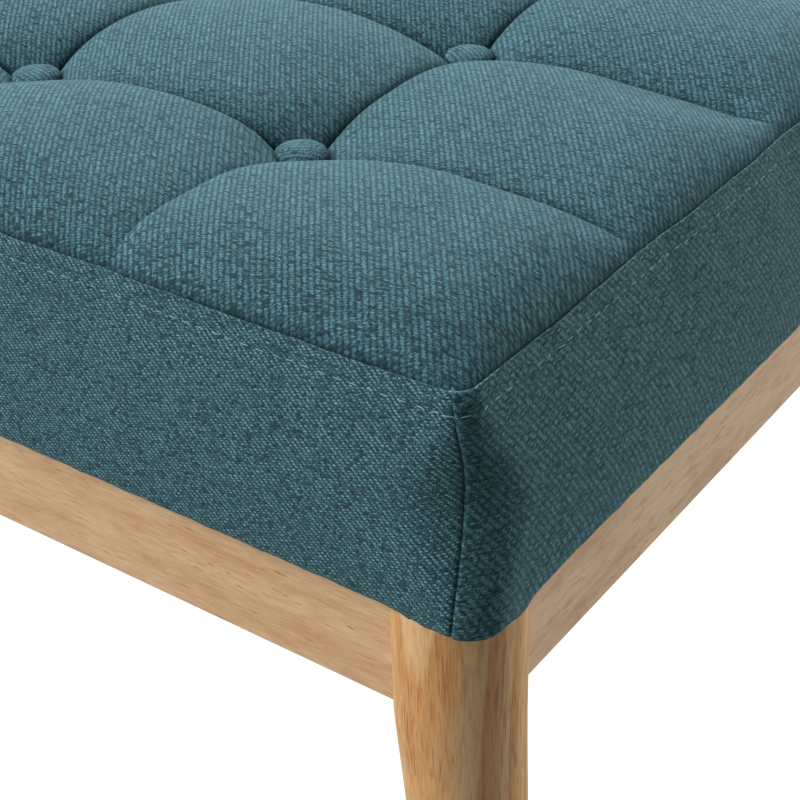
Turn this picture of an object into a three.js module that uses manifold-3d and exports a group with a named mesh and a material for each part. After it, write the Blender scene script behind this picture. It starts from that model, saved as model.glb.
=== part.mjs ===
// Upholstered bench: a button-tufted boxed cushion on a rubberwood frame with round splayed legs.
// Millimetres, +Z up. X runs along the bench and Y through its depth, with the front at -Y.
// The origin is on the floor, under the middle of the bench.
import * as THREE from 'three';
import { mergeVertices } from 'three/addons/utils/BufferGeometryUtils.js';
import Module from 'manifold-3d';

const manifold = await Module();
manifold.setup();

// Overall sizes, taken over the upright tops of the legs
const BENCH_LENGTH = 1272;
const BENCH_DEPTH = 478;

// Legs: an upright top as tall as the rails, then a splayed and tapered lower part
const LEG_DIAMETER = 43;
const LEG_LENGTH = 344.7;
const LEG_SPLAY_SHARE = 0.07;
const FOOT_DIAMETER = 25;
const LEG_SIDES = 24;

// Glides under the legs
const GLIDE_DIAMETER = 21;
const GLIDE_HEIGHT = 4;
const GLIDE_EDGE = 1.2;
const GLIDE_PIN_DIAMETER = 3.2;
const GLIDE_PIN_LENGTH = 14;

// Rails, flush with the tops of the legs
const RAIL_HEIGHT = 49;
const RAIL_THICKNESS = 22;
const RAIL_SETBACK = 9.5;
const RAIL_EDGE = 1.5;
const TENON_LENGTH = 12;
const TENON_THICKNESS = 9;
const TENON_HEIGHT = 33;
const TENON_SETBACK = 4.5;

// Corner blocks, as triangles with the corner cut off
const BLOCK_HEIGHT = 36;
const BLOCK_REACH = 56;
const BLOCK_CUT = 14;
const BLOCK_DROP = 1.5;

// Centre stretcher between the long rails
const STRETCHER_THICKNESS = 22;
const STRETCHER_HEIGHT = 40;
const STRETCHER_TENON_LENGTH = 9;
const STRETCHER_TENON_THICKNESS = 10;
const STRETCHER_TENON_HEIGHT = 24;

// Leg bolts and seat screws
const BOLT_DIAMETER = 6;
const BOLT_DEPTH_IN_LEG = 15;
const BOLT_HEAD_DIAMETER = 11.5;
const BOLT_HEAD_HEIGHT = 4;
const WASHER_DIAMETER = 16;
const WASHER_THICKNESS = 1.5;
const SCREW_DIAMETER = 4.5;
const SCREW_HEAD_DIAMETER = 9;
const SCREW_HEAD_HEIGHT = 3;
const SCREW_BITE = 9;
const SCREW_LONG_OFFSET = 28;
const SCREW_SHORT_OFFSET = 17;
const FASTENER_SIDES = 10;

// Seat board, foam and wadding
const BOARD_THICKNESS = 12;
const FOAM_THICKNESS = 39;

// Cover, boxed with a sewn-in top panel
const FABRIC_THICKNESS = 1.5;
const BOXING_HEIGHT = 69;
const BASE_INSET = 0.2;
const SEAM_INSET = 18.9;
const BASE_CORNER_RADIUS = 14;
const BODY_CORNER_RADIUS = 30;
const TOP_CORNER_RADIUS = 22;
const WRAP_WIDTH = 44;
const ROLL_RADIUS = 3;
const DRAW_IN = 1.2;
const SEAM_GAP = 0.3;

// Tufting: rows of buttons, and the crown between them
const BUTTON_COLUMNS = 8;
const BUTTON_ROWS = 3;
const BUTTON_END_MARGIN = 142.1;
const BUTTON_SIDE_MARGIN = 107.2;
const BUTTON_SINK = 6;
const FOLD_RISE = 15.5;
const PILLOW_RISE = 7;
const EDGE_ROLL = 45;

// Covered buttons, their twine and the toggles under the board
const BUTTON_DIAMETER = 19;
const BUTTON_DOME_HEIGHT = 2.8;
const BUTTON_RIM_HEIGHT = 0.5;
const BUTTON_CONE_HEIGHT = 5;
const BUTTON_LIFT = 0.9;
const TWINE_DIAMETER = 2;
const TWINE_HOLE_DIAMETER = 4.4;
const TOGGLE_DIAMETER = 14;
const TOGGLE_THICKNESS = 2.5;
const TOGGLE_RECESS_DIAMETER = 17;
const TOGGLE_RECESS_DEPTH = 4.4;
const BUTTON_SIDES = 8;
const TWINE_HOLE_SIDES = 4;
const HEX_SIDES = 6;

// Dust cover under the seat
const DUST_THICKNESS = 0.8;
const DUST_SETBACK = 2.5;
const DUST_OVERLAP = 13;
const DUST_STEP = 2;
const DUST_CORNER_RADIUS = 80;

// Clearances and cut overruns
const FIT_GAP = 0.3;
const HOLE_CLEARANCE = 0.3;
const OVERRUN = 2;

// Shape shares, chosen by hand
// Boxing levels from its bottom to the seam: share of the height, share of the lean inwards,
// share of the way from the base corner radius to the body one
const boxingShares = [
  [0.065, 0, 0],
  [0.2, 0.055, 0.4],
  [0.4, 0.19, 0.8],
  [0.6, 0.4, 1],
  [0.8, 0.67, 0.85],
  [1, 1, 0],
];
// Grid lines of the top panel inside one cell, and in the border cell from the seam to a button line
const cellShares = [0.28, 0.72, 1];
const borderShares = [0, 0.12, 0.33, 0.7, 1];
const cornerArcShares = [0, 1 / 2, 1];
const domeShoulderShare = 0.72;
const CROWN_POWER = 2.2;
const EDGE_POWER = 3;

// Heights and places worked out from the sizes above
const legRadius = LEG_DIAMETER / 2;
const legBottom = GLIDE_HEIGHT + FIT_GAP;
const frameTop = legBottom + LEG_LENGTH;
const railBottom = frameTop - RAIL_HEIGHT;
const railMiddle = frameTop - RAIL_HEIGHT / 2;
const blockTop = frameTop - BLOCK_DROP;
const blockMiddle = blockTop - BLOCK_HEIGHT / 2;
const legAxisX = BENCH_LENGTH / 2 - legRadius;
const legAxisY = BENCH_DEPTH / 2 - legRadius;
const railOuter = legRadius - RAIL_SETBACK;
const railInner = railOuter - RAIL_THICKNESS;
const innerCornerX = legAxisX + railInner;
const innerCornerY = legAxisY + railInner;
const wrapBottom = frameTop + FIT_GAP;
const wrapTop = wrapBottom + FABRIC_THICKNESS;
const boardBottom = wrapTop + FIT_GAP;
const boardTop = boardBottom + BOARD_THICKNESS;
const foamBottom = boardTop + FIT_GAP;
const foamTop = foamBottom + FOAM_THICKNESS;
const waddingBottom = foamTop + FIT_GAP;
const seamHeight = frameTop + BOXING_HEIGHT;
const boxingTop = seamHeight - FABRIC_THICKNESS - FIT_GAP;
const seamHalfX = BENCH_LENGTH / 2 - SEAM_INSET;
const seamHalfY = BENCH_DEPTH / 2 - SEAM_INSET;
const spacingX = (2 * seamHalfX - 2 * BUTTON_END_MARGIN) / (BUTTON_COLUMNS - 1);
const spacingY = (2 * seamHalfY - 2 * BUTTON_SIDE_MARGIN) / (BUTTON_ROWS - 1);

// Finishes
const finishes = {
  wood: { color: 0xb3946f, roughness: 0.5, metalness: 0 },
  innerWood: { color: 0xc2a47c, roughness: 0.75, metalness: 0 },
  plywood: { color: 0xc9ab80, roughness: 0.8, metalness: 0 },
  fabric: { color: 0x45696f, roughness: 0.95, metalness: 0 },
  dustCloth: { color: 0x1d1d1f, roughness: 0.95, metalness: 0 },
  foam: { color: 0xe6dcb8, roughness: 0.95, metalness: 0 },
  wadding: { color: 0xf0efea, roughness: 1, metalness: 0 },
  nylon: { color: 0x2b2623, roughness: 0.55, metalness: 0 },
  steel: { color: 0x9c9ea0, roughness: 0.4, metalness: 1 },
};

// Geometry helpers

// Keeps positions only and joins the vertices that coincide.
function closed(geometry) {
  const bare = geometry.clone();
  bare.deleteAttribute('normal');
  bare.deleteAttribute('uv');
  return mergeVertices(bare);
}

function toSolid(geometry) {
  const merged = closed(geometry);
  const mesh = new manifold.Mesh({
    numProp: 3,
    vertProperties: new Float32Array(merged.attributes.position.array),
    triVerts: new Uint32Array(merged.index.array),
  });
  return new manifold.Manifold(mesh);
}

function toGeometry(solid) {
  const mesh = solid.getMesh();
  const geometry = new THREE.BufferGeometry();
  geometry.setAttribute('position', new THREE.BufferAttribute(new Float32Array(mesh.vertProperties), 3));
  geometry.setIndex(new THREE.BufferAttribute(new Uint32Array(mesh.triVerts), 1));
  return geometry;
}

function box(low, high) {
  const size = new THREE.Vector3().subVectors(high, low);
  const middle = new THREE.Vector3().addVectors(low, high).multiplyScalar(1 / 2);
  return new THREE.BoxGeometry(size.x, size.y, size.z).translate(middle.x, middle.y, middle.z);
}

// A turned piece about the Z axis, from [radius, height] pairs listed from its lower end up.
function turned(profile, sides) {
  const points = profile.map(([radius, height]) => new THREE.Vector2(radius, height));
  return new THREE.LatheGeometry(points, sides).rotateX(Math.PI / 2);
}

// An upright round drill from low to high.
function drill(diameter, low, high, sides) {
  const geometry = new THREE.CylinderGeometry(diameter / 2, diameter / 2, high - low, sides);
  return geometry.rotateX(Math.PI / 2).translate(0, 0, (low + high) / 2);
}

// A panel with thickness: a grid of outer points over a grid of inner points, closed round its edge.
// Both faces share their diagonals: across says whether a grid square is split the other way.
function gridSolid(columns, rows, place, across = () => false) {
  const at = (column, row, outer) => 2 * (row * (columns + 1) + column) + (outer ? 1 : 0);
  const positions = [];
  for (let row = 0; row <= rows; row += 1) {
    for (let column = 0; column <= columns; column += 1) {
      positions.push(...place(column, row, false).toArray(), ...place(column, row, true).toArray());
    }
  }
  const index = [];
  const quad = (a, b, c, d, split) => {
    if (split) index.push(a, b, d, b, c, d);
    else index.push(a, b, c, a, c, d);
  };
  for (let row = 0; row < rows; row += 1) {
    for (let column = 0; column < columns; column += 1) {
      const split = across(column, row);
      const square = [[column, row], [column + 1, row], [column + 1, row + 1], [column, row + 1]];
      const [a, b, c, d] = square.map(([i, j]) => at(i, j, true));
      const [e, f, g, h] = square.map(([i, j]) => at(i, j, false));
      quad(a, b, c, d, split);
      quad(h, g, f, e, !split);
    }
  }
  for (let column = 0; column < columns; column += 1) {
    quad(at(column, 0, false), at(column + 1, 0, false), at(column + 1, 0, true), at(column, 0, true), false);
    quad(at(column + 1, rows, false), at(column, rows, false), at(column, rows, true),
      at(column + 1, rows, true), false);
  }
  for (let row = 0; row < rows; row += 1) {
    quad(at(0, row + 1, false), at(0, row, false), at(0, row, true), at(0, row + 1, true), false);
    quad(at(columns, row, false), at(columns, row + 1, false), at(columns, row + 1, true),
      at(columns, row, true), false);
  }
  const geometry = new THREE.BufferGeometry();
  geometry.setAttribute('position', new THREE.Float32BufferAttribute(positions, 3));
  geometry.setIndex(index);
  return geometry;
}

// The outline of the cushion at a given inset from the legs' outer planes, as plan points.
function cushionRing(inset, radius) {
  const ring = [];
  for (let side = 0; side < 4; side += 1) {
    const half = sideHalves(side);
    for (const share of cornerArcShares.slice(0, -1)) {
      ring.push(sidePoint(side, half.along - inset - radius, share, inset, radius));
    }
    ring.push(sidePoint(side, half.along - inset - radius, 1, inset, radius));
    const next = (side + 1) % 4;
    const nextHalf = sideHalves(next);
    for (const share of [...cornerArcShares].reverse().slice(1)) {
      ring.push(sidePoint(next, -(nextHalf.along - inset - radius), -share, inset, radius));
    }
  }
  return ring;
}

// A solid through a stack of cushion rings, each { inset, radius, height }, from the lowest up.
function stacked(levels) {
  const rings = levels.map((level) => cushionRing(level.inset, level.radius));
  const count = rings[0].length;
  const positions = [];
  rings.forEach((ring, k) => ring.forEach((point) => positions.push(point.x, point.y, levels[k].height)));
  const index = [];
  for (let k = 0; k + 1 < rings.length; k += 1) {
    for (let i = 0; i < count; i += 1) {
      const j = (i + 1) % count;
      const low = k * count;
      const high = low + count;
      index.push(low + i, low + j, high + j, low + i, high + j, high + i);
    }
  }
  const last = (rings.length - 1) * count;
  const top = THREE.ShapeUtils.triangulateShape(rings[rings.length - 1], []);
  top.forEach(([a, b, c]) => index.push(last + a, last + b, last + c));
  const bottom = THREE.ShapeUtils.triangulateShape(rings[0], []);
  bottom.forEach(([a, b, c]) => index.push(a, c, b));
  const geometry = new THREE.BufferGeometry();
  geometry.setAttribute('position', new THREE.Float32BufferAttribute(positions, 3));
  geometry.setIndex(index);
  return geometry;
}

// The four sides of the cushion: 0 front, 1 right, 2 back, 3 left

function runsAlongX(side) {
  return side % 2 === 0;
}

function sideHalves(side) {
  return {
    along: (runsAlongX(side) ? BENCH_LENGTH : BENCH_DEPTH) / 2,
    out: (runsAlongX(side) ? BENCH_DEPTH : BENCH_LENGTH) / 2,
  };
}

// A plan point on one side: its place along the straight, then round the corner arc. The corner share
// runs from 0 at the straight's end to 1, or -1, at the middle of the corner.
function sidePoint(side, along, cornerShare, inset, radius) {
  const half = sideHalves(side);
  const angle = cornerShare * Math.PI / 4;
  const s = along + radius * Math.sin(angle);
  const out = half.out - inset - radius + radius * Math.cos(angle);
  return turnedPoint(side, s, out);
}

function turnedPoint(side, along, out) {
  if (side === 0) return new THREE.Vector2(along, -out);
  if (side === 1) return new THREE.Vector2(out, along);
  if (side === 2) return new THREE.Vector2(-along, out);
  return new THREE.Vector2(-out, -along);
}

// Tufting

function buttonLines(count, spacing) {
  return Array.from({ length: count }, (_, i) => (i - (count - 1) / 2) * spacing);
}

const linesX = buttonLines(BUTTON_COLUMNS, spacingX);
const linesY = buttonLines(BUTTON_ROWS, spacingY);

// 0 on a button line, rising steeply to 1 half a cell away from it.
function bump(place, lines, spacing) {
  const distance = Math.min(...lines.map((line) => Math.abs(place - line)));
  const share = Math.min(distance / (spacing / 2), 1);
  return 1 - (1 - share) ** CROWN_POWER;
}

// 0 on the seam, rising to 1 at the inner end of the rolled edge.
function edgeRise(place, half) {
  const share = Math.min(Math.max(half - Math.abs(place), 0) / EDGE_ROLL, 1);
  return 1 - (1 - share) ** EDGE_POWER;
}

// Height of the cover's outer face.
function coverHeight(x, y) {
  const bumpX = bump(x, linesX, spacingX);
  const bumpY = bump(y, linesY, spacingY);
  const folds = bumpX + bumpY - bumpX * bumpY;
  const rise = -BUTTON_SINK + FOLD_RISE * folds + PILLOW_RISE * bumpX * bumpY;
  return seamHeight + rise * edgeRise(x, seamHalfX) * edgeRise(y, seamHalfY);
}

// The button lines that end at a side of the cushion.
function sideTufts(side) {
  return runsAlongX(side) ? { lines: linesX, spacing: spacingX } : { lines: linesY, spacing: spacingY };
}

// How far the tufting draws a side of the cushion in, at the height of the seam.
function drawIn(side, along) {
  const { lines, spacing } = sideTufts(side);
  return DRAW_IN * (1 - bump(along, lines, spacing));
}

// Grid lines of the top panel from one seam to the other.
function panelLines(lines, spacing, half) {
  const margin = half + lines[0];
  const start = borderShares.map((share) => -half + share * margin);
  const middle = lines.slice(0, -1).flatMap((line) => cellShares.map((share) => line + share * spacing));
  const end = borderShares.slice(0, -1).reverse().map((share) => half - share * margin);
  return [...start, ...middle, ...end];
}

const gridX = panelLines(linesX, spacingX, seamHalfX);
const gridY = panelLines(linesY, spacingY, seamHalfY);

// Whether a grid square of the top panel bulges more when split between its other two corners.
function bulgesAcross(column, row) {
  const height = (i, j) => coverHeight(gridX[column + i], gridY[row + j]);
  return height(1, 0) + height(0, 1) > height(0, 0) + height(1, 1);
}

// How far a corner arc cuts in, at a distance along the edge from the square corner.
function arcCut(distance, radius) {
  const inside = Math.max(radius - distance, 0);
  return radius - Math.sqrt(radius ** 2 - inside ** 2);
}

// Plan place of a grid point of the top panel, with the seam drawn in and its corners rounded.
function gridPlace(column, row, trim, radius) {
  const x = gridX[column];
  const y = gridY[row];
  const endX = column === 0 || column === gridX.length - 1;
  const endY = row === 0 || row === gridY.length - 1;
  const edge = endX || endY;
  if (endX && endY) {
    const cut = trim + radius * (1 - Math.SQRT1_2);
    return { x: x - Math.sign(x) * cut, y: y - Math.sign(y) * cut, edge };
  }
  const inX = endX ? trim + drawIn(1, y) + arcCut(seamHalfY - Math.abs(y), radius) : 0;
  const inY = endY ? trim + drawIn(0, x) + arcCut(seamHalfX - Math.abs(x), radius) : 0;
  return { x: x - Math.sign(x) * inX, y: y - Math.sign(y) * inY, edge };
}

function drilled(geometry, diameter, low, high) {
  let solid = toSolid(geometry);
  for (const x of linesX) {
    for (const y of linesY) {
      const hole = drill(diameter, low, high, TWINE_HOLE_SIDES).translate(x, y, 0);
      solid = solid.subtract(toSolid(hole));
    }
  }
  return solid;
}

function coverTop() {
  const sheet = gridSolid(gridX.length - 1, gridY.length - 1, (column, row, outer) => {
    const place = gridPlace(column, row, 0, TOP_CORNER_RADIUS);
    const height = place.edge ? seamHeight : coverHeight(place.x, place.y);
    return new THREE.Vector3(place.x, place.y, outer ? height : height - FABRIC_THICKNESS);
  }, bulgesAcross);
  return toGeometry(drilled(sheet, TWINE_HOLE_DIAMETER, foamTop, seamHeight + OVERRUN));
}

function wadding() {
  const trim = FABRIC_THICKNESS + FIT_GAP + DRAW_IN;
  const layer = gridSolid(gridX.length - 1, gridY.length - 1, (column, row, outer) => {
    const place = gridPlace(column, row, trim, BODY_CORNER_RADIUS);
    const cover = place.edge ? seamHeight : coverHeight(place.x, place.y);
    const height = cover - FABRIC_THICKNESS - FIT_GAP;
    return new THREE.Vector3(place.x, place.y, outer ? height : waddingBottom);
  }, bulgesAcross);
  return toGeometry(drilled(layer, TWINE_HOLE_DIAMETER, foamBottom, seamHeight + OVERRUN));
}

// Boxing

// Levels of the boxing's outer face between its bottom roll and the seam.
function boxingLevels() {
  return boxingShares.map(([heightShare, leanShare, radiusShare]) => {
    const topRadius = heightShare === 1 ? TOP_CORNER_RADIUS : BASE_CORNER_RADIUS;
    return {
      height: wrapBottom + heightShare * (boxingTop - wrapBottom),
      inset: BASE_INSET + leanShare * (SEAM_INSET - BASE_INSET),
      radius: topRadius + radiusShare * (BODY_CORNER_RADIUS - topRadius),
      draw: leanShare,
    };
  });
}

// Inset and corner radius of the boxing's inner face, with a gap for what lies inside it.
function insideBoxing(height) {
  const levels = boxingLevels();
  const upper = levels.findIndex((level) => level.height >= height);
  const high = levels[Math.max(upper, 1)];
  const low = levels[Math.max(upper, 1) - 1];
  const share = (height - low.height) / (high.height - low.height);
  const inset = THREE.MathUtils.lerp(low.inset + low.draw * DRAW_IN, high.inset + high.draw * DRAW_IN, share);
  const radius = THREE.MathUtils.lerp(low.radius, high.radius, share);
  return { height, inset: inset + FABRIC_THICKNESS + FIT_GAP, radius: radius - FABRIC_THICKNESS };
}

// The boxing's cross-section as pairs of outer and inner points, from its raw edge under the board,
// round the board's lower edge and up to the seam.
function boxingSection() {
  const wrapRadius = FABRIC_THICKNESS;
  const face = boxingLevels().map((level) => ({
    outer: { inset: level.inset, height: level.height, radius: level.radius },
    inner: {
      inset: level.inset + FABRIC_THICKNESS,
      height: level.height,
      radius: level.radius - FABRIC_THICKNESS,
    },
    draw: level.draw,
  }));
  const rolled = BASE_CORNER_RADIUS - ROLL_RADIUS;
  const rollShare = 1 - Math.SQRT1_2;
  return [
    {
      outer: { inset: WRAP_WIDTH, height: wrapBottom, radius: wrapRadius },
      inner: { inset: WRAP_WIDTH, height: wrapTop, radius: wrapRadius },
      draw: 0,
    },
    {
      outer: { inset: BASE_INSET + ROLL_RADIUS, height: wrapBottom, radius: rolled },
      inner: { inset: BASE_INSET + ROLL_RADIUS, height: wrapTop, radius: rolled },
      draw: 0,
    },
    {
      outer: {
        inset: BASE_INSET + ROLL_RADIUS * rollShare,
        height: wrapBottom + ROLL_RADIUS * rollShare,
        radius: BASE_CORNER_RADIUS,
      },
      inner: {
        inset: BASE_INSET + ROLL_RADIUS * rollShare + FABRIC_THICKNESS * Math.SQRT1_2,
        height: wrapBottom + ROLL_RADIUS * rollShare + FABRIC_THICKNESS * Math.SQRT1_2,
        radius: BASE_CORNER_RADIUS - FABRIC_THICKNESS,
      },
      draw: 0,
    },
    ...face,
  ];
}

// Places along one side where the boxing has a grid column: each button line and each cell's middle.
function boxingColumns(side) {
  const { lines, spacing } = sideTufts(side);
  const middles = lines.map((line) => line + spacing / 2);
  const first = lines[0] - spacing / 2;
  return [first, ...lines.flatMap((line, i) => [line, middles[i]])];
}

function boxing(side) {
  const section = boxingSection();
  const straight = boxingColumns(side);
  const arc = cornerArcShares.length;
  const columns = straight.length + 2 * arc;
  const half = sideHalves(side);
  return gridSolid(columns - 1, section.length - 1, (column, row, outer) => {
    const level = section[row];
    const face = outer ? level.outer : level.inner;
    const straightEnd = half.along - face.inset - face.radius;
    let along = 0;
    let cornerShare = 0;
    if (column < arc) {
      cornerShare = -cornerArcShares[arc - 1 - column];
      along = -straightEnd;
    } else if (column >= columns - arc) {
      cornerShare = cornerArcShares[column - (columns - arc)];
      along = straightEnd;
    } else {
      along = straight[column - arc];
    }
    if (Math.abs(cornerShare) === 1) along -= Math.sign(cornerShare) * SEAM_GAP;
    const draw = column < arc || column >= columns - arc ? 0 : level.draw * drawIn(side, along);
    const point = sidePoint(side, along, cornerShare, face.inset + draw, face.radius);
    return new THREE.Vector3(point.x, point.y, face.height);
  });
}

// Filling

function foamCore() {
  const heights = boxingLevels().map((level) => level.height);
  const between = heights.filter((height) => height > foamBottom && height < foamTop);
  const levels = [foamBottom, ...between, foamTop].map(insideBoxing);
  return toGeometry(drilled(stacked(levels), TWINE_HOLE_DIAMETER, boardTop, waddingBottom));
}

// Seat board, with a hole and a recess for each toggle, and a pilot hole for each seat screw.
function seatBoard() {
  const edge = insideBoxing(boardTop);
  const blank = stacked([{ ...edge, height: boardBottom }, { ...edge, height: boardTop }]);
  let solid = drilled(blank, TWINE_HOLE_DIAMETER, frameTop, foamBottom);
  const recess = drill(TOGGLE_RECESS_DIAMETER, frameTop, boardBottom + TOGGLE_RECESS_DEPTH, HEX_SIDES);
  for (const x of linesX) {
    for (const y of linesY) solid = solid.subtract(toSolid(recess.clone().translate(x, y, 0)));
  }
  const pilot = drill(
    SCREW_DIAMETER + 2 * HOLE_CLEARANCE,
    frameTop,
    boardBottom + SCREW_BITE + HOLE_CLEARANCE,
    FASTENER_SIDES,
  );
  for (const corner of corners) {
    const place = screwPlace(corner);
    solid = solid.subtract(toSolid(pilot.clone().translate(place.x, place.y, 0)));
  }
  return toGeometry(solid);
}

// Dust cover: stapled over the cover's raw edges, then close under the board.
function dustCover() {
  const rim = RAIL_SETBACK + RAIL_THICKNESS + DUST_SETBACK;
  const stepOuter = rim + DUST_OVERLAP;
  const stepInner = stepOuter + DUST_STEP;
  const rimTop = wrapBottom - FIT_GAP;
  const rimBottom = rimTop - DUST_THICKNESS;
  const bodyTop = boardBottom - FIT_GAP;
  const bodyBottom = bodyTop - DUST_THICKNESS;
  const at = (inset, height) => ({ inset, height, radius: DUST_CORNER_RADIUS - (inset - rim) });
  const slab = stacked([at(rim, rimBottom), at(rim, rimTop)]);
  const raised = stacked([at(stepOuter, rimBottom), at(stepInner, bodyTop)]);
  const hollow = stacked([at(stepOuter + DUST_THICKNESS, rimBottom - OVERRUN), at(stepInner, bodyBottom)]);
  return toGeometry(toSolid(slab).add(toSolid(raised)).subtract(toSolid(hollow)));
}

// One solid from the cap's dome, down its twine, to the toggle under the board.
function button() {
  const seat = seamHeight - BUTTON_SINK;
  const capBottom = seat + BUTTON_LIFT;
  const rimBottom = capBottom + BUTTON_CONE_HEIGHT;
  const rimTop = rimBottom + BUTTON_RIM_HEIGHT;
  const toggleTop = boardBottom + TOGGLE_RECESS_DEPTH - FIT_GAP;
  const radius = BUTTON_DIAMETER / 2;
  return turned([
    [0, toggleTop - TOGGLE_THICKNESS],
    [TOGGLE_DIAMETER / 2, toggleTop - TOGGLE_THICKNESS],
    [TOGGLE_DIAMETER / 2, toggleTop],
    [TWINE_DIAMETER / 2, toggleTop],
    [TWINE_DIAMETER / 2, capBottom],
    [radius, rimBottom],
    [radius, rimTop],
    [radius * domeShoulderShare, rimTop + BUTTON_DOME_HEIGHT * domeShoulderShare],
    [0, rimTop + BUTTON_DOME_HEIGHT],
  ], BUTTON_SIDES);
}

// Frame

const corners = [
  { name: 'front_right', x: 1, y: -1 },
  { name: 'back_right', x: 1, y: 1 },
  { name: 'back_left', x: -1, y: 1 },
  { name: 'front_left', x: -1, y: -1 },
];

// How far the foot has splayed out, at a height under the rails.
function splay(height) {
  return LEG_SPLAY_SHARE * Math.max(railBottom - height, 0);
}

// The box between two corners given in any order.
function boxBetween(a, b) {
  return box(new THREE.Vector3().copy(a).min(b), new THREE.Vector3().copy(a).max(b));
}

// Opposite corners of a tenon about its leg's axis, grown by a clearance. The rail runs away from the
// leg against alongSign, and its outer face looks along outSign. The first coordinate runs along the rail.
function tenonCorners(alongSign, outSign, clearance) {
  const face = railOuter - TENON_SETBACK;
  const halfHeight = TENON_HEIGHT / 2 + clearance;
  return [
    new THREE.Vector3(
      -alongSign * (legRadius - TENON_LENGTH - clearance),
      outSign * (face + clearance),
      railMiddle - halfHeight,
    ),
    new THREE.Vector3(
      -alongSign * (legRadius + OVERRUN),
      outSign * (face - TENON_THICKNESS - clearance),
      railMiddle + halfHeight,
    ),
  ];
}

// The tenon of a rail along X, or its mortise with a clearance.
function tenonBox(alongSign, outSign, clearance) {
  return boxBetween(...tenonCorners(alongSign, outSign, clearance));
}

// The mortise for an end rail, which runs along Y.
function endMortiseBox(corner) {
  const [a, b] = tenonCorners(corner.y, corner.x, HOLE_CLEARANCE);
  return boxBetween(new THREE.Vector3(a.y, a.x, a.z), new THREE.Vector3(b.y, b.x, b.z));
}

// Turns a piece that lies along +X to point from the bench's inside towards a corner's leg.
function towardsCorner(geometry, corner) {
  return geometry.rotateZ(Math.atan2(corner.y, corner.x));
}

function leg(corner) {
  const footRadius = FOOT_DIAMETER / 2;
  const geometry = closed(turned([
    [0, legBottom],
    [footRadius, legBottom],
    [legRadius, railBottom],
    [legRadius, frameTop],
    [0, frameTop],
  ], LEG_SIDES));
  const position = geometry.attributes.position;
  for (let i = 0; i < position.count; i += 1) {
    position.setX(i, position.getX(i) + corner.x * splay(position.getZ(i)));
  }
  const boltHole = new THREE.CylinderGeometry(
    BOLT_DIAMETER / 2 + HOLE_CLEARANCE,
    BOLT_DIAMETER / 2 + HOLE_CLEARANCE,
    BOLT_DEPTH_IN_LEG + HOLE_CLEARANCE + OVERRUN,
    FASTENER_SIDES,
  );
  const holeMiddle = legRadius - BOLT_DEPTH_IN_LEG - HOLE_CLEARANCE;
  boltHole.rotateZ(Math.PI / 2);
  boltHole.translate(-(holeMiddle + (BOLT_DEPTH_IN_LEG + HOLE_CLEARANCE + OVERRUN) / 2), 0, blockMiddle);
  const pinHole = drill(
    GLIDE_PIN_DIAMETER + 2 * HOLE_CLEARANCE,
    0,
    GLIDE_HEIGHT + GLIDE_PIN_LENGTH + HOLE_CLEARANCE,
    FASTENER_SIDES,
  );
  pinHole.translate(corner.x * splay(legBottom), 0, 0);
  const solid = toSolid(geometry)
    .subtract(toSolid(tenonBox(corner.x, corner.y, HOLE_CLEARANCE)))
    .subtract(toSolid(endMortiseBox(corner)))
    .subtract(toSolid(towardsCorner(boltHole, corner)))
    .subtract(toSolid(pinHole));
  return toGeometry(solid).translate(corner.x * legAxisX, corner.y * legAxisY, 0);
}

function glide(corner) {
  const radius = GLIDE_DIAMETER / 2;
  const pin = GLIDE_PIN_DIAMETER / 2;
  const geometry = turned([
    [0, 0],
    [radius - GLIDE_EDGE, 0],
    [radius, GLIDE_EDGE],
    [radius, GLIDE_HEIGHT],
    [pin, GLIDE_HEIGHT],
    [pin, GLIDE_HEIGHT + GLIDE_PIN_LENGTH],
    [0, GLIDE_HEIGHT + GLIDE_PIN_LENGTH],
  ], FASTENER_SIDES);
  return geometry.translate(corner.x * (legAxisX + splay(legBottom)), corner.y * legAxisY, 0);
}

// A rail along X between two leg axes, its outer face towards -Y, with coped ends and tenons.
function railSolid(axisSpan) {
  const half = axisSpan / 2;
  const section = new THREE.Shape([
    new THREE.Vector2(-railOuter + RAIL_EDGE, railBottom),
    new THREE.Vector2(-railInner, railBottom),
    new THREE.Vector2(-railInner, frameTop),
    new THREE.Vector2(-railOuter, frameTop),
    new THREE.Vector2(-railOuter, railBottom + RAIL_EDGE),
  ]);
  const endReach = half - railOuter;
  const bar = new THREE.ExtrudeGeometry(section, { depth: 2 * endReach, bevelEnabled: false });
  bar.rotateX(Math.PI / 2).rotateZ(Math.PI / 2).translate(-endReach, 0, 0);
  let solid = toSolid(bar);
  for (const end of [-1, 1]) {
    const cope = drill(LEG_DIAMETER + 2 * FIT_GAP, railBottom - OVERRUN, frameTop + OVERRUN, LEG_SIDES);
    const tenon = tenonBox(end, -1, 0);
    solid = solid.subtract(toSolid(cope.translate(end * half, 0, 0)));
    solid = solid.add(toSolid(tenon.translate(end * half, 0, 0)));
  }
  return solid;
}

function longRail(turn) {
  const mortise = stretcherTenon(HOLE_CLEARANCE).translate(0, -railInner - STRETCHER_TENON_LENGTH / 2, 0);
  const solid = railSolid(2 * legAxisX).subtract(toSolid(mortise));
  return toGeometry(solid).translate(0, -legAxisY, 0).rotateZ(turn);
}

function endRail(turn) {
  return toGeometry(railSolid(2 * legAxisY)).translate(0, -legAxisX, 0).rotateZ(turn);
}

// The stretcher's tenon, its length along Y and its middle at the origin in plan.
function stretcherTenon(clearance) {
  const length = STRETCHER_TENON_LENGTH + 2 * clearance;
  const geometry = new THREE.BoxGeometry(
    STRETCHER_TENON_THICKNESS + 2 * clearance,
    length,
    STRETCHER_TENON_HEIGHT + 2 * clearance,
  );
  return geometry.translate(0, 0, blockTop - STRETCHER_HEIGHT / 2);
}

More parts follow.
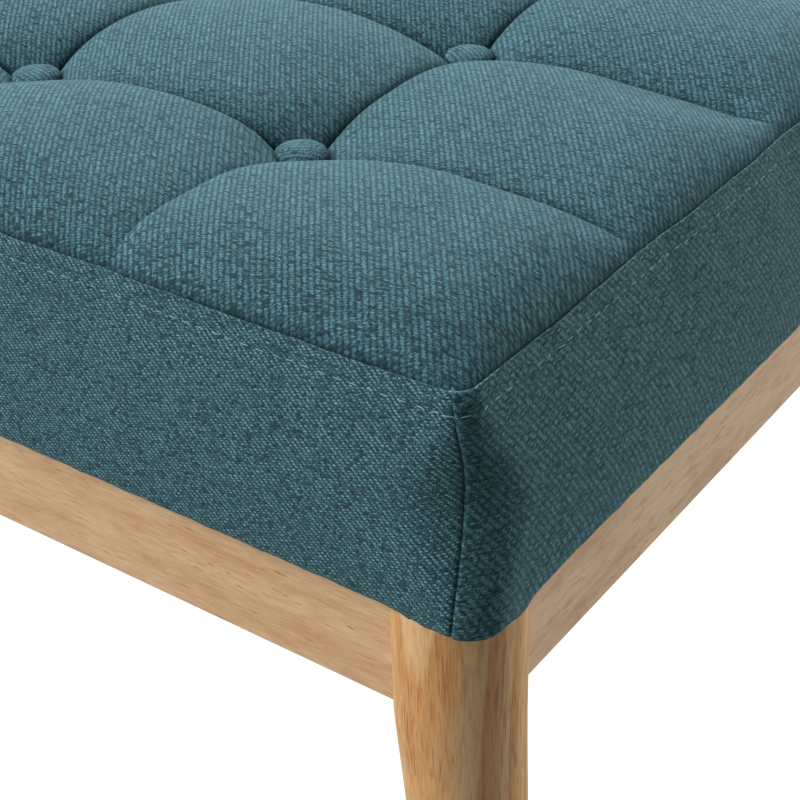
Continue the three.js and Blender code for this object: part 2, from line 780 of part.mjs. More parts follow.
function stretcher() {
  const halfLength = innerCornerY - FIT_GAP;
  const bar = box(
    new THREE.Vector3(-STRETCHER_THICKNESS / 2, -halfLength, blockTop - STRETCHER_HEIGHT),
    new THREE.Vector3(STRETCHER_THICKNESS / 2, halfLength, blockTop),
  );
  const tenonMiddle = halfLength + STRETCHER_TENON_LENGTH / 2 - FIT_GAP;
  let solid = toSolid(bar);
  for (const end of [-1, 1]) {
    solid = solid.add(toSolid(stretcherTenon(0).translate(0, end * tenonMiddle, 0)));
  }
  return toGeometry(solid);
}

// Plan place of a seat screw, off the leg bolt's line.
function screwPlace(corner) {
  return {
    x: corner.x * (innerCornerX - SCREW_LONG_OFFSET),
    y: corner.y * (innerCornerY - SCREW_SHORT_OFFSET),
  };
}

// A point inside a corner, by its distances from the two rails' inner faces.
function insideCorner(corner, fromEndRail, fromLongRail) {
  return new THREE.Vector2(corner.x * (innerCornerX - fromEndRail), corner.y * (innerCornerY - fromLongRail));
}

function cornerBlock(corner) {
  const outline = [
    insideCorner(corner, BLOCK_CUT, FIT_GAP),
    insideCorner(corner, BLOCK_REACH, FIT_GAP),
    insideCorner(corner, FIT_GAP, BLOCK_REACH),
    insideCorner(corner, FIT_GAP, BLOCK_CUT),
  ];
  const shape = new THREE.Shape(outline);
  const bar = new THREE.ExtrudeGeometry(shape, { depth: BLOCK_HEIGHT, bevelEnabled: false });
  bar.translate(0, 0, blockTop - BLOCK_HEIGHT);
  const boltHole = new THREE.CylinderGeometry(
    BOLT_DIAMETER / 2 + HOLE_CLEARANCE,
    BOLT_DIAMETER / 2 + HOLE_CLEARANCE,
    2 * BLOCK_REACH,
    FASTENER_SIDES,
  );
  boltHole.rotateZ(Math.PI / 2).translate(-legRadius, 0, blockMiddle);
  towardsCorner(boltHole, corner).translate(corner.x * legAxisX, corner.y * legAxisY, 0);
  const screwHole = drill(
    SCREW_DIAMETER + 2 * HOLE_CLEARANCE,
    blockTop - BLOCK_HEIGHT - OVERRUN,
    blockTop + OVERRUN,
    FASTENER_SIDES,
  );
  const place = screwPlace(corner);
  screwHole.translate(place.x, place.y, 0);
  return toGeometry(toSolid(bar).subtract(toSolid(boltHole)).subtract(toSolid(screwHole)));
}

// Distance from the leg's axis to the block's inner face, along the diagonal.
function blockFaceDistance() {
  return (BLOCK_REACH + FIT_GAP - 2 * railInner) * Math.SQRT1_2;
}

function legBolt(corner) {
  const face = blockFaceDistance() + FIT_GAP;
  const tip = legRadius - BOLT_DEPTH_IN_LEG;
  const shank = turned([
    [0, tip],
    [BOLT_DIAMETER / 2, tip],
    [BOLT_DIAMETER / 2, face],
    [WASHER_DIAMETER / 2, face],
    [WASHER_DIAMETER / 2, face + WASHER_THICKNESS],
    [0, face + WASHER_THICKNESS],
  ], FASTENER_SIDES);
  const headTop = face + WASHER_THICKNESS + BOLT_HEAD_HEIGHT;
  const head = drill(BOLT_HEAD_DIAMETER, face + WASHER_THICKNESS / 2, headTop, HEX_SIDES);
  const geometry = toGeometry(toSolid(shank).add(toSolid(head)));
  geometry.rotateY(-Math.PI / 2);
  return towardsCorner(geometry, corner).translate(corner.x * legAxisX, corner.y * legAxisY, blockMiddle);
}

function seatScrew(corner) {
  const headTop = blockTop - BLOCK_HEIGHT - FIT_GAP;
  const place = screwPlace(corner);
  const geometry = turned([
    [0, headTop - SCREW_HEAD_HEIGHT],
    [SCREW_HEAD_DIAMETER / 2, headTop - SCREW_HEAD_HEIGHT / 2],
    [SCREW_HEAD_DIAMETER / 2, headTop],
    [SCREW_DIAMETER / 2, headTop],
    [SCREW_DIAMETER / 2, boardBottom + SCREW_BITE - SCREW_DIAMETER / 2],
    [0, boardBottom + SCREW_BITE],
  ], FASTENER_SIDES);
  return geometry.translate(place.x, place.y, 0);
}

// The bench

const bench = new THREE.Group();

function addPiece(name, geometry, finish) {
  const mesh = new THREE.Mesh(geometry, new THREE.MeshStandardMaterial(finishes[finish]));
  mesh.name = name;
  bench.add(mesh);
}

for (const corner of corners) {
  addPiece(`leg_${corner.name}`, leg(corner), 'wood');
  addPiece(`glide_${corner.name}`, glide(corner), 'nylon');
  addPiece(`corner_block_${corner.name}`, cornerBlock(corner), 'innerWood');
  addPiece(`leg_bolt_${corner.name}`, legBolt(corner), 'steel');
  addPiece(`seat_screw_${corner.name}`, seatScrew(corner), 'steel');
}

addPiece('rail_front', longRail(0), 'wood');
addPiece('rail_right', endRail(Math.PI / 2), 'wood');
addPiece('rail_back', longRail(Math.PI), 'wood');
addPiece('rail_left', endRail(-Math.PI / 2), 'wood');
addPiece('centre_stretcher', stretcher(), 'innerWood');
addPiece('seat_board', seatBoard(), 'plywood');
addPiece('dust_cover', dustCover(), 'dustCloth');
addPiece('foam_core', foamCore(), 'foam');
addPiece('wadding', wadding(), 'wadding');
addPiece('cover_top', coverTop(), 'fabric');
['front', 'right', 'back', 'left'].forEach((name, side) => {
  addPiece(`cover_${name}`, boxing(side), 'fabric');
});

linesX.forEach((x, column) => {
  linesY.forEach((y, row) => {
    addPiece(`button_${column + 1}_${row + 1}`, button().translate(x, y, 0), 'fabric');
  });
});

export default bench;
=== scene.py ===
"""Looks of a button-tufted bench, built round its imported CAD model.

Lengths are in metres in the CAD model's frame: X along the bench, the front at -Y, +Z up, the floor at 0.
"""

import logging
import math
from dataclasses import dataclass
from enum import Enum
from typing import Sequence

import bmesh
import bpy
import numpy as np
from mathutils import Matrix, Vector, noise

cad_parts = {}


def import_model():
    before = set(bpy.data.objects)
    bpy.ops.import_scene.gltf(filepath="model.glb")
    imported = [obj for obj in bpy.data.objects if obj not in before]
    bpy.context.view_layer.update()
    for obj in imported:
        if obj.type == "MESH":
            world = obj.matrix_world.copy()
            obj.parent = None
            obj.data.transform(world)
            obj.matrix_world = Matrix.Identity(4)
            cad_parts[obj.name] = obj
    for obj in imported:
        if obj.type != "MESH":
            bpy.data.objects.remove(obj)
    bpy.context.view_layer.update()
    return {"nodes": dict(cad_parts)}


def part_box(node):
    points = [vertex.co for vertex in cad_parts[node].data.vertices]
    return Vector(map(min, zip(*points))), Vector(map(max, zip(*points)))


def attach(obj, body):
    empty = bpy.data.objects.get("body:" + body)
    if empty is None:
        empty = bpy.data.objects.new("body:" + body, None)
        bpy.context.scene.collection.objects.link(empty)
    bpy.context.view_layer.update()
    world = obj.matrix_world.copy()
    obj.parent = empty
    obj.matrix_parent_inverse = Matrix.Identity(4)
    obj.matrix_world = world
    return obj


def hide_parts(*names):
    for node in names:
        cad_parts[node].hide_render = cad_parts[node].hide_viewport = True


MM = 0.001
CORNER_CUT = 0.293  # How far a quarter arc's middle lies inside its corner, in radii
BODY = "root"
LOG = logging.getLogger("bench")
RIPPLES = ((1.0, 1.0, 1.0), (0.6, 1.71, 2.3), (0.4, 2.93, 4.1))

Array = np.ndarray
Material = bpy.types.Material
Mesh = bpy.types.Mesh
Object = bpy.types.Object
Pair = tuple[float, float]
Rgb = tuple[float, float, float]
Socket = bpy.types.NodeSocket


class Side(Enum):
    """The cushion's four sides, each with its number of quarter turns from the front."""

    FRONT = 0
    RIGHT = 1
    BACK = 2
    LEFT = 3

    @property
    def label(self) -> str:
        """The side's name as the CAD nodes have it."""
        return self.name.lower()

    @property
    def axis(self) -> int:
        """The axis that the side runs along, 0 for X and 1 for Y."""
        return self.value % 2

    def turned(self, along: Array, out: Array) -> tuple[Array, Array]:
        """Plan place of points on this side."""
        return [(along, -out), (out, along), (-along, out), (-out, -along)][self.value]


class Corner(Enum):
    """The bench's corners, each with the signs of its X and Y."""

    FRONT_RIGHT = (1, -1)
    BACK_RIGHT = (1, 1)
    BACK_LEFT = (-1, 1)
    FRONT_LEFT = (-1, -1)

    @property
    def label(self) -> str:
        """The corner's name as the CAD nodes have it."""
        return self.name.lower()


# Smooth shares


def smooth(share: Array) -> Array:
    """Eases a share between 0 and 1 at both ends."""
    held = np.clip(share, 0, 1)
    return held * held * (3 - 2 * held)


def near(distance: Array, width: float) -> Array:
    """A soft hill: 1 at no distance, and close to 0 at twice the width."""
    return np.exp(-((distance / width) ** 2))


def ripple(place: Array, wave: float, seed: float) -> Array:
    """A smooth uneven wave between about -1 and 1."""
    turn = math.tau * place / wave
    return sum(size * np.sin(speed * turn + shift * seed) for size, speed, shift in RIPPLES) / 2


def patchy(x: Array, y: Array, wave: float, seed: float) -> Array:
    """Smooth noise over a surface, between about -1 and 1."""
    flat = [noise.noise(Vector((a / wave, b / wave, seed))) for a, b in zip(np.ravel(x), np.ravel(y))]
    return np.array(flat).reshape(np.shape(x))


# Mesh helpers


def grid_faces(rows: int, columns: int, closed: bool = False) -> list[tuple[int, int, int, int]]:
    """Faces of a grid of points stored row by row.

    Args:
        rows: How many rows of points there are.
        columns: How many points a row has.
        closed: Whether each row's end joins its start.

    Returns:
        The quads, with their front towards the side where rows x columns turn anticlockwise.
    """
    span = columns if closed else columns - 1
    return [
        (start + c, start + (c + 1) % columns, start + columns + (c + 1) % columns, start + columns + c)
        for start in range(0, (rows - 1) * columns, columns)
        for c in range(span)
    ]


def placed(name: str, data: bpy.types.ID) -> Object:
    """Puts new data in the scene as an object at the origin.

    Args:
        name: The object's name.
        data: Its mesh, camera or light.

    Returns:
        The object.
    """
    made = bpy.data.objects.new(name, data)
    bpy.context.scene.collection.objects.link(made)
    return made


def make_object(
    name: str,
    points: Array,
    faces: Sequence[Sequence[int]],
    finishes: Sequence[Material],
    yarn: Array | None = None,
    smooth_angle: float | None = 40,
) -> Object:
    """Makes a mesh object at the origin.

    Args:
        name: The piece's name.
        points: Its points, one row each.
        faces: Its faces as indices of the points.
        finishes: Its materials.
        yarn: Warp and weft counts at each point, for the weave.
        smooth_angle: Edges sharper than this many degrees stay sharp; None leaves all flat.

    Returns:
        The object, linked to the scene.
    """
    mesh = bpy.data.meshes.new(name)
    mesh.from_pydata(np.reshape(points, (-1, 3)).tolist(), [], [tuple(face) for face in faces])
    for finish in finishes:
        mesh.materials.append(finish)
    if yarn is not None:
        layer = mesh.uv_layers.new(name="yarn")
        corner_points = np.empty(len(mesh.loops), np.int32)
        mesh.loops.foreach_get("vertex_index", corner_points)
        layer.data.foreach_set("uv", np.reshape(yarn, (-1, 2))[corner_points].astype(np.float32).ravel())
    mesh.validate()
    shade(mesh, smooth_angle)
    return placed(name, mesh)


def shade(mesh: Mesh, smooth_angle: float | None) -> None:
    """Shades a mesh smoothly but for its sharp edges.

    Args:
        mesh: The mesh.
        smooth_angle: Edges sharper than this many degrees stay sharp; None leaves all flat.
    """
    mesh.polygons.foreach_set("use_smooth", [smooth_angle is not None] * len(mesh.polygons))
    if smooth_angle is not None:
        mesh.set_sharp_from_angle(angle=math.radians(smooth_angle))
    mesh.update()


def turned_points(profile: Sequence[Pair], sides: int) -> tuple[Array, list[tuple[int, ...]]]:
    """A closed turned shape about the Z axis.

    Args:
        profile: Radius and height pairs from its lower pole to its upper one, the poles left out.
        sides: How many sides it has.

    Returns:
        Its points and its faces, with both ends closed by one flat face.
    """
    radius, height = np.array(profile).T
    angle = np.arange(sides) * math.tau / sides
    ring = np.stack([np.cos(angle), np.sin(angle)], axis=1)
    points = np.concatenate([np.column_stack([r * ring, np.full(sides, h)]) for r, h in zip(radius, height)])
    last = (len(profile) - 1) * sides
    ends = [tuple(reversed(range(sides))), tuple(range(last, last + sides))]
    return points, grid_faces(len(profile), sides, closed=True) + ends


def arc(centre: Pair, radius: float, start: float, stop: float, count: int) -> list[Pair]:
    """Points on a circular arc."""
    angles = np.radians(np.linspace(start, stop, count))
    return [(centre[0] + radius * math.cos(a), centre[1] + radius * math.sin(a)) for a in angles]


def thicken(piece: Object, thickness: float, offset: float = -1) -> None:
    """Gives a surface its thickness.

    Args:
        piece: The surface.
        thickness: The wall it gets.
        offset: -1 for a wall behind the face, 0 for one on both sides of it.
    """
    wall = piece.modifiers.new("wall", "SOLIDIFY")
    wall.thickness = thickness
    wall.offset = offset


def baked(piece: Object) -> Object:
    """Turns a piece and its modifiers into a plain mesh.

    Args:
        piece: The piece.

    Returns:
        The same object with its final mesh and no modifiers.
    """
    graph = bpy.context.evaluated_depsgraph_get()
    mesh = bpy.data.meshes.new_from_object(piece.evaluated_get(graph), depsgraph=graph)
    piece.modifiers.clear()
    piece.data = mesh
    return piece


def cut_out(piece: Object, cutters: Sequence[Object], smooth_angle: float) -> None:
    """Cuts shapes out of a piece, shades it again and removes the shapes.

    Args:
        piece: The piece.
        cutters: The shapes to cut out.
        smooth_angle: Edges sharper than this many degrees stay sharp.
    """
    for cutter in cutters:
        cut = piece.modifiers.new("cut", "BOOLEAN")
        cut.operation = "DIFFERENCE"
        cut.object = cutter
    baked(piece)
    shade(piece.data, smooth_angle)
    for cutter in cutters:
        bpy.data.objects.remove(cutter)


def settle(piece: Object, slot: str | None, *nodes: str) -> Object:
    """Fixes a finished piece to the frame.

    Args:
        piece: The piece.
        slot: Not used.
        *nodes: The CAD nodes that it stands for.

    Returns:
        The piece.
    """
    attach(piece, BODY)
    if nodes:
        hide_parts(*nodes)
    LOG.info("%s: %d faces, for %s", piece.name, len(piece.data.polygons), ", ".join(nodes) or "itself")
    return piece


# Finishes


class Shader:
    """A material's node tree, with short calls that add and join its nodes."""

    def __init__(self, name: str) -> None:
        """Starts a material.

        Args:
            name: The material's name.
        """
        self.material = bpy.data.materials.new(name)
        self.material.use_nodes = True
        self.nodes = self.material.node_tree.nodes
        self.links = self.material.node_tree.links
        self.surface = self.nodes["Principled BSDF"]

    def node(self, kind: str, inputs: dict | None = None, **settings) -> bpy.types.Node:
        """Adds a node.

        Args:
            kind: The node's type, such as ShaderNodeMath.
            inputs: What its inputs hold or are joined to, by name or number.
            **settings: The node's own settings.

        Returns:
            The node.
        """
        made = self.nodes.new(kind)
        for name, value in settings.items():
            setattr(made, name, value)
        for name, value in (inputs or {}).items():
            self.join(value, made.inputs[name])
        return made

    def join(self, value: Socket | float | Sequence[float], target: Socket) -> None:
        """Joins an output to an input, or sets the input's own value.

        Args:
            value: An output or a plain value.
            target: The input.
        """
        if isinstance(value, bpy.types.NodeSocket):
            self.links.new(value, target)
        elif target.type == "RGBA" and len(value) == 3:
            target.default_value = (*value, 1)
        else:
            target.default_value = value

    def math(self, operation: str, *values: Socket | float, clamp: bool = False) -> Socket:
        """Adds a Math node."""
        made = self.node("ShaderNodeMath", dict(enumerate(values)), operation=operation, use_clamp=clamp)
        return made.outputs[0]

    def vector(self, operation: str, inputs: dict) -> Socket:
        """Adds a Vector Math node."""
        return self.node("ShaderNodeVectorMath", inputs, operation=operation).outputs[0]

    def mix(self, share: Socket | float, a: Socket | Rgb, b: Socket | Rgb, blend: str = "MIX") -> Socket:
        """Mixes two colours.

        Args:
            share: How much of the second.
            a: The first colour.
            b: The second colour.
            blend: The blend type.

        Returns:
            The mixed colour.
        """
        made = self.nodes.new("ShaderNodeMix")
        made.data_type = "RGBA"
        made.blend_type = blend
        for value, number in ((share, 0), (a, 6), (b, 7)):
            self.join(value, made.inputs[number])
        return made.outputs[2]

    def ramp(self, value: Socket, stops: Sequence[tuple[float, Rgb]]) -> Socket:
        """Turns a value into a colour by a ramp.

        Args:
            value: The value.
            stops: Place and colour pairs in order.

        Returns:
            The colour.
        """
        made = self.node("ShaderNodeValToRGB", {"Fac": value})
        band = made.color_ramp
        while len(band.elements) < len(stops):
            band.elements.new(0.5)
        for element, (place, colour) in zip(band.elements, stops):
            element.position = place
            element.color = (*colour, 1)
        return made.outputs["Color"]

    def noise(self, vector: Socket, scale: float, detail: float = 2, roughness: float = 0.5) -> Socket:
        """Adds noise."""
        inputs = {"Vector": vector, "Scale": scale, "Detail": detail, "Roughness": roughness}
        return self.node("ShaderNodeTexNoise", inputs).outputs["Fac"]

    def stretched(self, vector: Socket, scale: Sequence[float], turn: Sequence[float] = (0, 0, 0)) -> Socket:
        """Scales and turns a vector."""
        inputs = {"Vector": vector, "Scale": scale, "Rotation": turn}
        return self.node("ShaderNodeMapping", inputs).outputs["Vector"]

    def bump(self, height: Socket, distance: float, strength: float = 1) -> None:
        """Bumps the surface."""
        inputs = {"Height": height, "Distance": distance, "Strength": strength}
        self.join(self.node("ShaderNodeBump", inputs).outputs["Normal"], self.surface.inputs["Normal"])

    def place(self) -> Socket:
        """Object coordinates."""
        return self.node("ShaderNodeTexCoord").outputs["Object"]

    def set(self, **values: Socket | float | Sequence[float]) -> None:
        """Sets the surface's inputs."""
        for name, value in values.items():
            self.join(value, self.surface.inputs[name.replace("_", " ")])


@dataclass(frozen=True)
class Cut:
    """How a panel is cut from the cloth: yarn counts per millimetre along its two directions."""

    warp: Pair
    weft: Pair

    def yarns(self, along: Array, across: Array) -> Array:
        """Yarn counts on a panel."""
        return np.stack([(a * along + b * across) / MM for a, b in (self.warp, self.weft)], axis=-1)


@dataclass(frozen=True)
class Twill:
    """Heathered woven twill, its floats two yarns long, read from each panel's yarn counts."""

    name: str
    light: Rgb = (0.160, 0.360, 0.415)
    # The colour that the yarns darken to in their gaps and on their rounded sides: painted shade between the
    # yarns.
    gap: Rgb = (0.010, 0.032, 0.036)
    relief: float = 0.2 * MM
    repeat: int = 3
    float_length: float = 1.9
    flatness: float = 1.0
    roundness: float = 0.5
    under: float = 0.32
    sharpness: float = 1.5
    brightest: float = 1.14
    flecks: float = 1.05
    fibre_start: float = 0.36
    fibre_contrast: float = 4.2
    fibre_least: float = 0.15
    fibre_share: Pair = (0.85, 0.35)
    heather_share: Pair = (0.8, 0.60)
    mottle: float = 0.45
    mottle_range: Pair = (0.25, 1.15)
    # How far the fold attribute darkens the cloth: painted shade in folds, along the seam and under the
    # buttons' rims.
    fold_shade: float = 0.8
    looseness: float = 1.0

    def make(self) -> Material:
        """Builds the material."""
        s = Shader(self.name)
        yarn = self.loosened(s, s.node("ShaderNodeUVMap", uv_map="yarn").outputs["UV"])
        height, chance = self.weave(s, yarn)
        # The yarns' height darkens the base colour towards the gap colour: painted shade between and along
        # the yarns.
        lit = s.math("MULTIPLY", s.math("POWER", height, self.sharpness), self.tone(s, yarn, chance))
        colour = s.mix(lit, self.gap, self.light)
        colour.node.clamp_factor = False
        s.set(Base_Color=colour, Roughness=0.95, Specular_IOR_Level=0.2,
              Sheen_Weight=0.1, Sheen_Roughness=0.5, Sheen_Tint=(0.45, 0.78, 0.86))
        s.bump(height, self.relief, 0.8)
        return s.material

    def weave(self, s: Shader, yarn: Socket) -> tuple[Socket, Socket]:
        """The weave itself: warp floats over the weft, each float one yarn further on than its neighbour.

        Args:
            s: The material's shader.
            yarn: The yarn counts.

        Returns:
            The cloth's height, and a random number for each float and each gap between floats.
        """
        split = s.node("ShaderNodeSeparateXYZ", {0: yarn})
        warp, weft = split.outputs[0], split.outputs[1]
        warp_count, weft_count = s.math("FLOOR", warp), s.math("FLOOR", weft)
        diagonal = s.math("ADD", weft, warp_count)
        along = s.math("FLOORED_MODULO", diagonal, self.repeat)
        float_count = s.math("FLOOR", s.math("DIVIDE", diagonal, self.repeat))
        arch = s.math("MULTIPLY", s.math("MINIMUM", s.math("DIVIDE", along, self.float_length), 1), math.pi)
        arch = s.math("POWER", s.math("MAXIMUM", s.math("SINE", arch), 0), self.flatness)
        over = s.math("MULTIPLY", self.rounded(s, warp, self.roundness), arch)
        under = s.math("MULTIPLY", self.rounded(s, weft, 0.5), self.under)
        over_key = s.node("ShaderNodeCombineXYZ", {0: warp_count, 1: float_count}).outputs[0]
        under_key = s.node("ShaderNodeCombineXYZ", {0: weft_count, 1: warp_count, 2: 7.0}).outputs[0]
        tones = [s.node("ShaderNodeTexWhiteNoise", {"Vector": key}).outputs["Value"]
                 for key in (under_key, over_key)]
        is_over = s.math("GREATER_THAN", over, under)
        chance = s.node("ShaderNodeMix", {0: is_over, 2: tones[0], 3: tones[1]}).outputs[0]
        return s.math("MAXIMUM", over, under), chance

    def tone(self, s: Shader, yarn: Socket, chance: Socket) -> Socket:
        """How bright the yarn is: dark flecks, fibres, slow heather, mottling and the painted shade in folds,
        along the seam and under the buttons' rims.

        Args:
            s: The material's shader.
            yarn: The yarn counts.
            chance: The random number of each float.

        Returns:
            The tone, around 1.
        """
        fibre = s.noise(s.stretched(yarn, (1.5, 1.1, 1)), 1.0, 3, 0.7)
        fibre = s.math("MULTIPLY_ADD", s.math("SUBTRACT", fibre, self.fibre_start),
                       self.fibre_contrast, self.fibre_least, clamp=True)
        heather = s.noise(s.stretched(yarn, (0.13, 0.17, 1)), 1, 3, 0.65)
        mottle = s.math("SUBTRACT", s.noise(s.stretched(yarn, (0.95, 0.75, 1)), 1, 1, 0.5), 0.5)
        mottle = s.math("MINIMUM", s.math("MULTIPLY_ADD", mottle, 4 * self.mottle, 1), self.mottle_range[1])
        # The fold attribute is painted shade: in the folds, along the seam and under the buttons' rims.
        fold = s.node("ShaderNodeAttribute", attribute_name="fold").outputs["Fac"]
        tone = s.math("MULTIPLY_ADD", s.math("POWER", chance, 3), -self.flecks, self.brightest)
        for factor in (
            s.math("MULTIPLY_ADD", fibre, *self.fibre_share),
            s.math("MULTIPLY_ADD", heather, *self.heather_share),
            s.math("MAXIMUM", mottle, self.mottle_range[0]),
            s.math("MULTIPLY_ADD", fold, -self.fold_shade, 1),
        ):
            tone = s.math("MULTIPLY", tone, factor)
        return tone

    def loosened(self, s: Shader, yarn: Socket) -> Socket:
        """Lets the yarns wander a little from their straight lines.

        Args:
            s: The material's shader.
            yarn: The yarn counts.

        Returns:
            The moved counts.
        """
        drift = s.node("ShaderNodeTexNoise", {"Vector": yarn, "Scale": 0.3, "Detail": 1}).outputs["Color"]
        drift = s.vector("SUBTRACT", {0: drift, 1: (0.5, 0.5, 0.5)})
        drift = s.vector("SCALE", {0: drift, "Scale": self.looseness})
        return s.vector("ADD", {0: yarn, 1: drift})

    def rounded(self, s: Shader, count: Socket, power: float) -> Socket:
        """A yarn's round cross-section.

        Args:
            s: The material's shader.
            count: The count across the yarn.
            power: How full the section is, less being fuller.

        Returns:
            Its height, 0 beside the yarn and 1 on its middle.
        """
        off = s.math("MULTIPLY", s.math("SUBTRACT", s.math("FRACT", count), 0.5), 1.98)
        rise = s.math("SUBTRACT", 1, s.math("MULTIPLY", off, off))
        return s.math("POWER", s.math("MAXIMUM", rise, 0), power)


@dataclass(frozen=True)
class Hardwood:
    """Clear-finished pale hardwood: soft growth bands round a pith beside the piece, clouds and pores."""

    name: str
    axis: int
    pith: Pair = (0.09, 0.05)
    slope: float = 0.02
    spacing: float = 16 * MM
    start: float = 0.0
    bands: float = 0.2
    ring_edge: float = 0.35
    ring_fade: float = 1.0
    sway: float = 6 * MM
    cloud: Pair = (22, 105)
    streak: Pair = (38, 620)
    fibre: Pair = (110, 1700)
    flush: Pair = (70, 300)
    pore: Pair = (190, 1300)
    pore_patch: Pair = (14, 160)
    pore_share: float = 0.33
    pore_strength: float = 0.8
    grain: float = 1.8
    ring_grain: float = 0.0
    pale: Rgb = (0.82, 0.565, 0.325)
    warm: Rgb = (0.65, 0.365, 0.175)
    brown: Rgb = (0.36, 0.17, 0.07)
    pores: Rgb = (0.30, 0.14, 0.06)
    blush: Rgb = (0.66, 0.355, 0.195)
    stops: tuple[float, float, float, float] = (0.40, 0.56, 0.70, 0.92)
    streak_share: float = 0.20
    calm: float = 0.7
    roughness: float = 0.42
    coat: float = 0.12

    def along(self, long: float, wide: float) -> tuple[float, float, float]:
        """Scales that stretch a pattern along the grain."""
        return tuple(long if axis == self.axis else wide for axis in range(3))

    def rings(self, s: Shader, place: Socket) -> Socket:
        """Growth bands, which the slope between grain and pith opens into long arches.

        Args:
            s: The material's shader.
            place: Where they are read.

        Returns:
            Their value, between 0 and 1.
        """
        split = s.node("ShaderNodeSeparateXYZ", {0: place})
        sway = s.math("SUBTRACT", s.noise(s.stretched(place, self.along(7, 30)), 1, 2, 0.5), 0.5)
        squares = []
        for axis, pith in zip([axis for axis in range(3) if axis != self.axis], self.pith):
            across = s.math("SUBTRACT", s.math("ABSOLUTE", split.outputs[axis]), pith)
            squares.append(s.math("MULTIPLY", across, across))
        radius = s.math("MULTIPLY_ADD", sway, self.sway, s.math("SQRT", s.math("ADD", *squares)))
        radius = s.math("MULTIPLY_ADD", split.outputs[self.axis], self.slope, radius)
        turn = s.math("FRACT", s.math("DIVIDE", s.math("SUBTRACT", self.start, radius), self.spacing))
        edge = s.math("DIVIDE", turn, self.ring_edge, clamp=True)
        return s.math("MULTIPLY", edge, s.math("POWER", s.math("SUBTRACT", 1, turn), self.ring_fade))

    def make(self) -> Material:
        """Builds the material."""
        s = Shader(self.name)
        place = s.place()
        streak = s.noise(s.stretched(place, self.along(*self.streak)), 1, 3, 0.65)
        rings = self.rings(s, place)
        busy = s.math("MULTIPLY_ADD", rings, self.calm * self.ring_grain, 1 - self.calm * self.ring_grain)
        dots = s.math("MULTIPLY", self.dots(s, place), busy)
        colour = self.figure(s, place, rings, streak, busy)
        colour = s.mix(s.math("MULTIPLY", dots, self.pore_strength), colour, self.pores)
        grain = s.math("SUBTRACT", s.math("MULTIPLY", streak, 0.35), s.math("MULTIPLY", dots, 0.6))
        s.set(Base_Color=colour, Roughness=s.math("MULTIPLY_ADD", streak, 0.16, self.roughness - 0.08),
              Specular_IOR_Level=0.45, Coat_Weight=self.coat, Coat_Roughness=0.3)
        s.bump(grain, 0.05 * MM, 0.6)
        return s.material

    def figure(self, s: Shader, place: Socket, rings: Socket, streak: Socket, busy: Socket) -> Socket:
        """The wood's colour before its pores.

        Args:
            s: The material's shader.
            place: Where it is read.
            rings: The growth bands.
            streak: The streaks along the grain.
            busy: How much fine grain shows at each place.

        Returns:
            The colour.
        """
        clouds = s.noise(s.stretched(place, self.along(*self.cloud)), 1, 4, 0.6)
        clouds = s.math("MULTIPLY", clouds, self.stops[-1] - self.bands)
        tone = s.math("MULTIPLY_ADD", rings, self.bands, clouds)
        tone = s.math("ADD", tone, s.math("MULTIPLY", streak, self.streak_share))
        colour = s.ramp(tone, list(zip(self.stops, (self.pale, self.mid(), self.warm, self.brown))))
        fine = s.noise(s.stretched(place, self.along(*self.fibre)), 1, 2, 0.6)
        fine = s.math("MULTIPLY", s.math("SUBTRACT", fine, 0.45, clamp=True), busy)
        colour = s.mix(s.math("MULTIPLY", fine, self.grain, clamp=True), colour, self.warm, "MULTIPLY")
        blush = s.noise(s.stretched(place, self.along(*self.flush)), 1, 2, 0.5)
        blush = s.math("MULTIPLY", s.math("SUBTRACT", blush, 0.53, clamp=True), 4.0, clamp=True)
        return s.mix(blush, colour, self.blush)

    def dots(self, s: Shader, place: Socket) -> Socket:
        """The pores, which lie in patches.

        Args:
            s: The material's shader.
            place: Where they are read.

        Returns:
            1 on a pore and 0 beside it.
        """
        pore = s.noise(s.stretched(place, self.along(*self.pore)), 1, 1, 0.4)
        patch = s.noise(s.stretched(place, self.along(*self.pore_patch)), 1, 1, 0.5)
        dots = s.math("MULTIPLY", s.math("SUBTRACT", pore, 1 - self.pore_share), 10, clamp=True)
        return s.math("MULTIPLY", dots, s.math("MULTIPLY", s.math("SUBTRACT", patch, 0.40), 5, clamp=True))

    def mid(self) -> Rgb:
        """A colour between the pale and the warm wood."""
        return tuple(0.6 * a + 0.4 * b for a, b in zip(self.pale, self.warm))


@dataclass(frozen=True)
class Plain:
    """A finish of one colour with fine mottling and a fine bump."""

    name: str
    colour: Rgb
    roughness: float
    scale: float
    relief: float
    metallic: float = 0.0
    variation: float = 0.25
    sheen: float = 0.0

    def make(self) -> Material:
        """Builds the material."""
        s = Shader(self.name)
        place = s.place()
        fine = s.noise(place, self.scale, 3, 0.6)
        broad = s.noise(place, self.scale / 12, 2, 0.5)
        darker = tuple(c * (1 - self.variation) for c in self.colour)
        tone = s.math("ADD", s.math("MULTIPLY", fine, 0.7), s.math("MULTIPLY", broad, 0.3))
        s.set(Base_Color=s.mix(tone, darker, self.colour), Metallic=self.metallic, Sheen_Weight=self.sheen,
              Roughness=s.math("ADD", s.math("MULTIPLY", fine, 0.15), self.roughness - 0.07))
        s.bump(fine, self.relief, 0.8)
        return s.material


# The seat


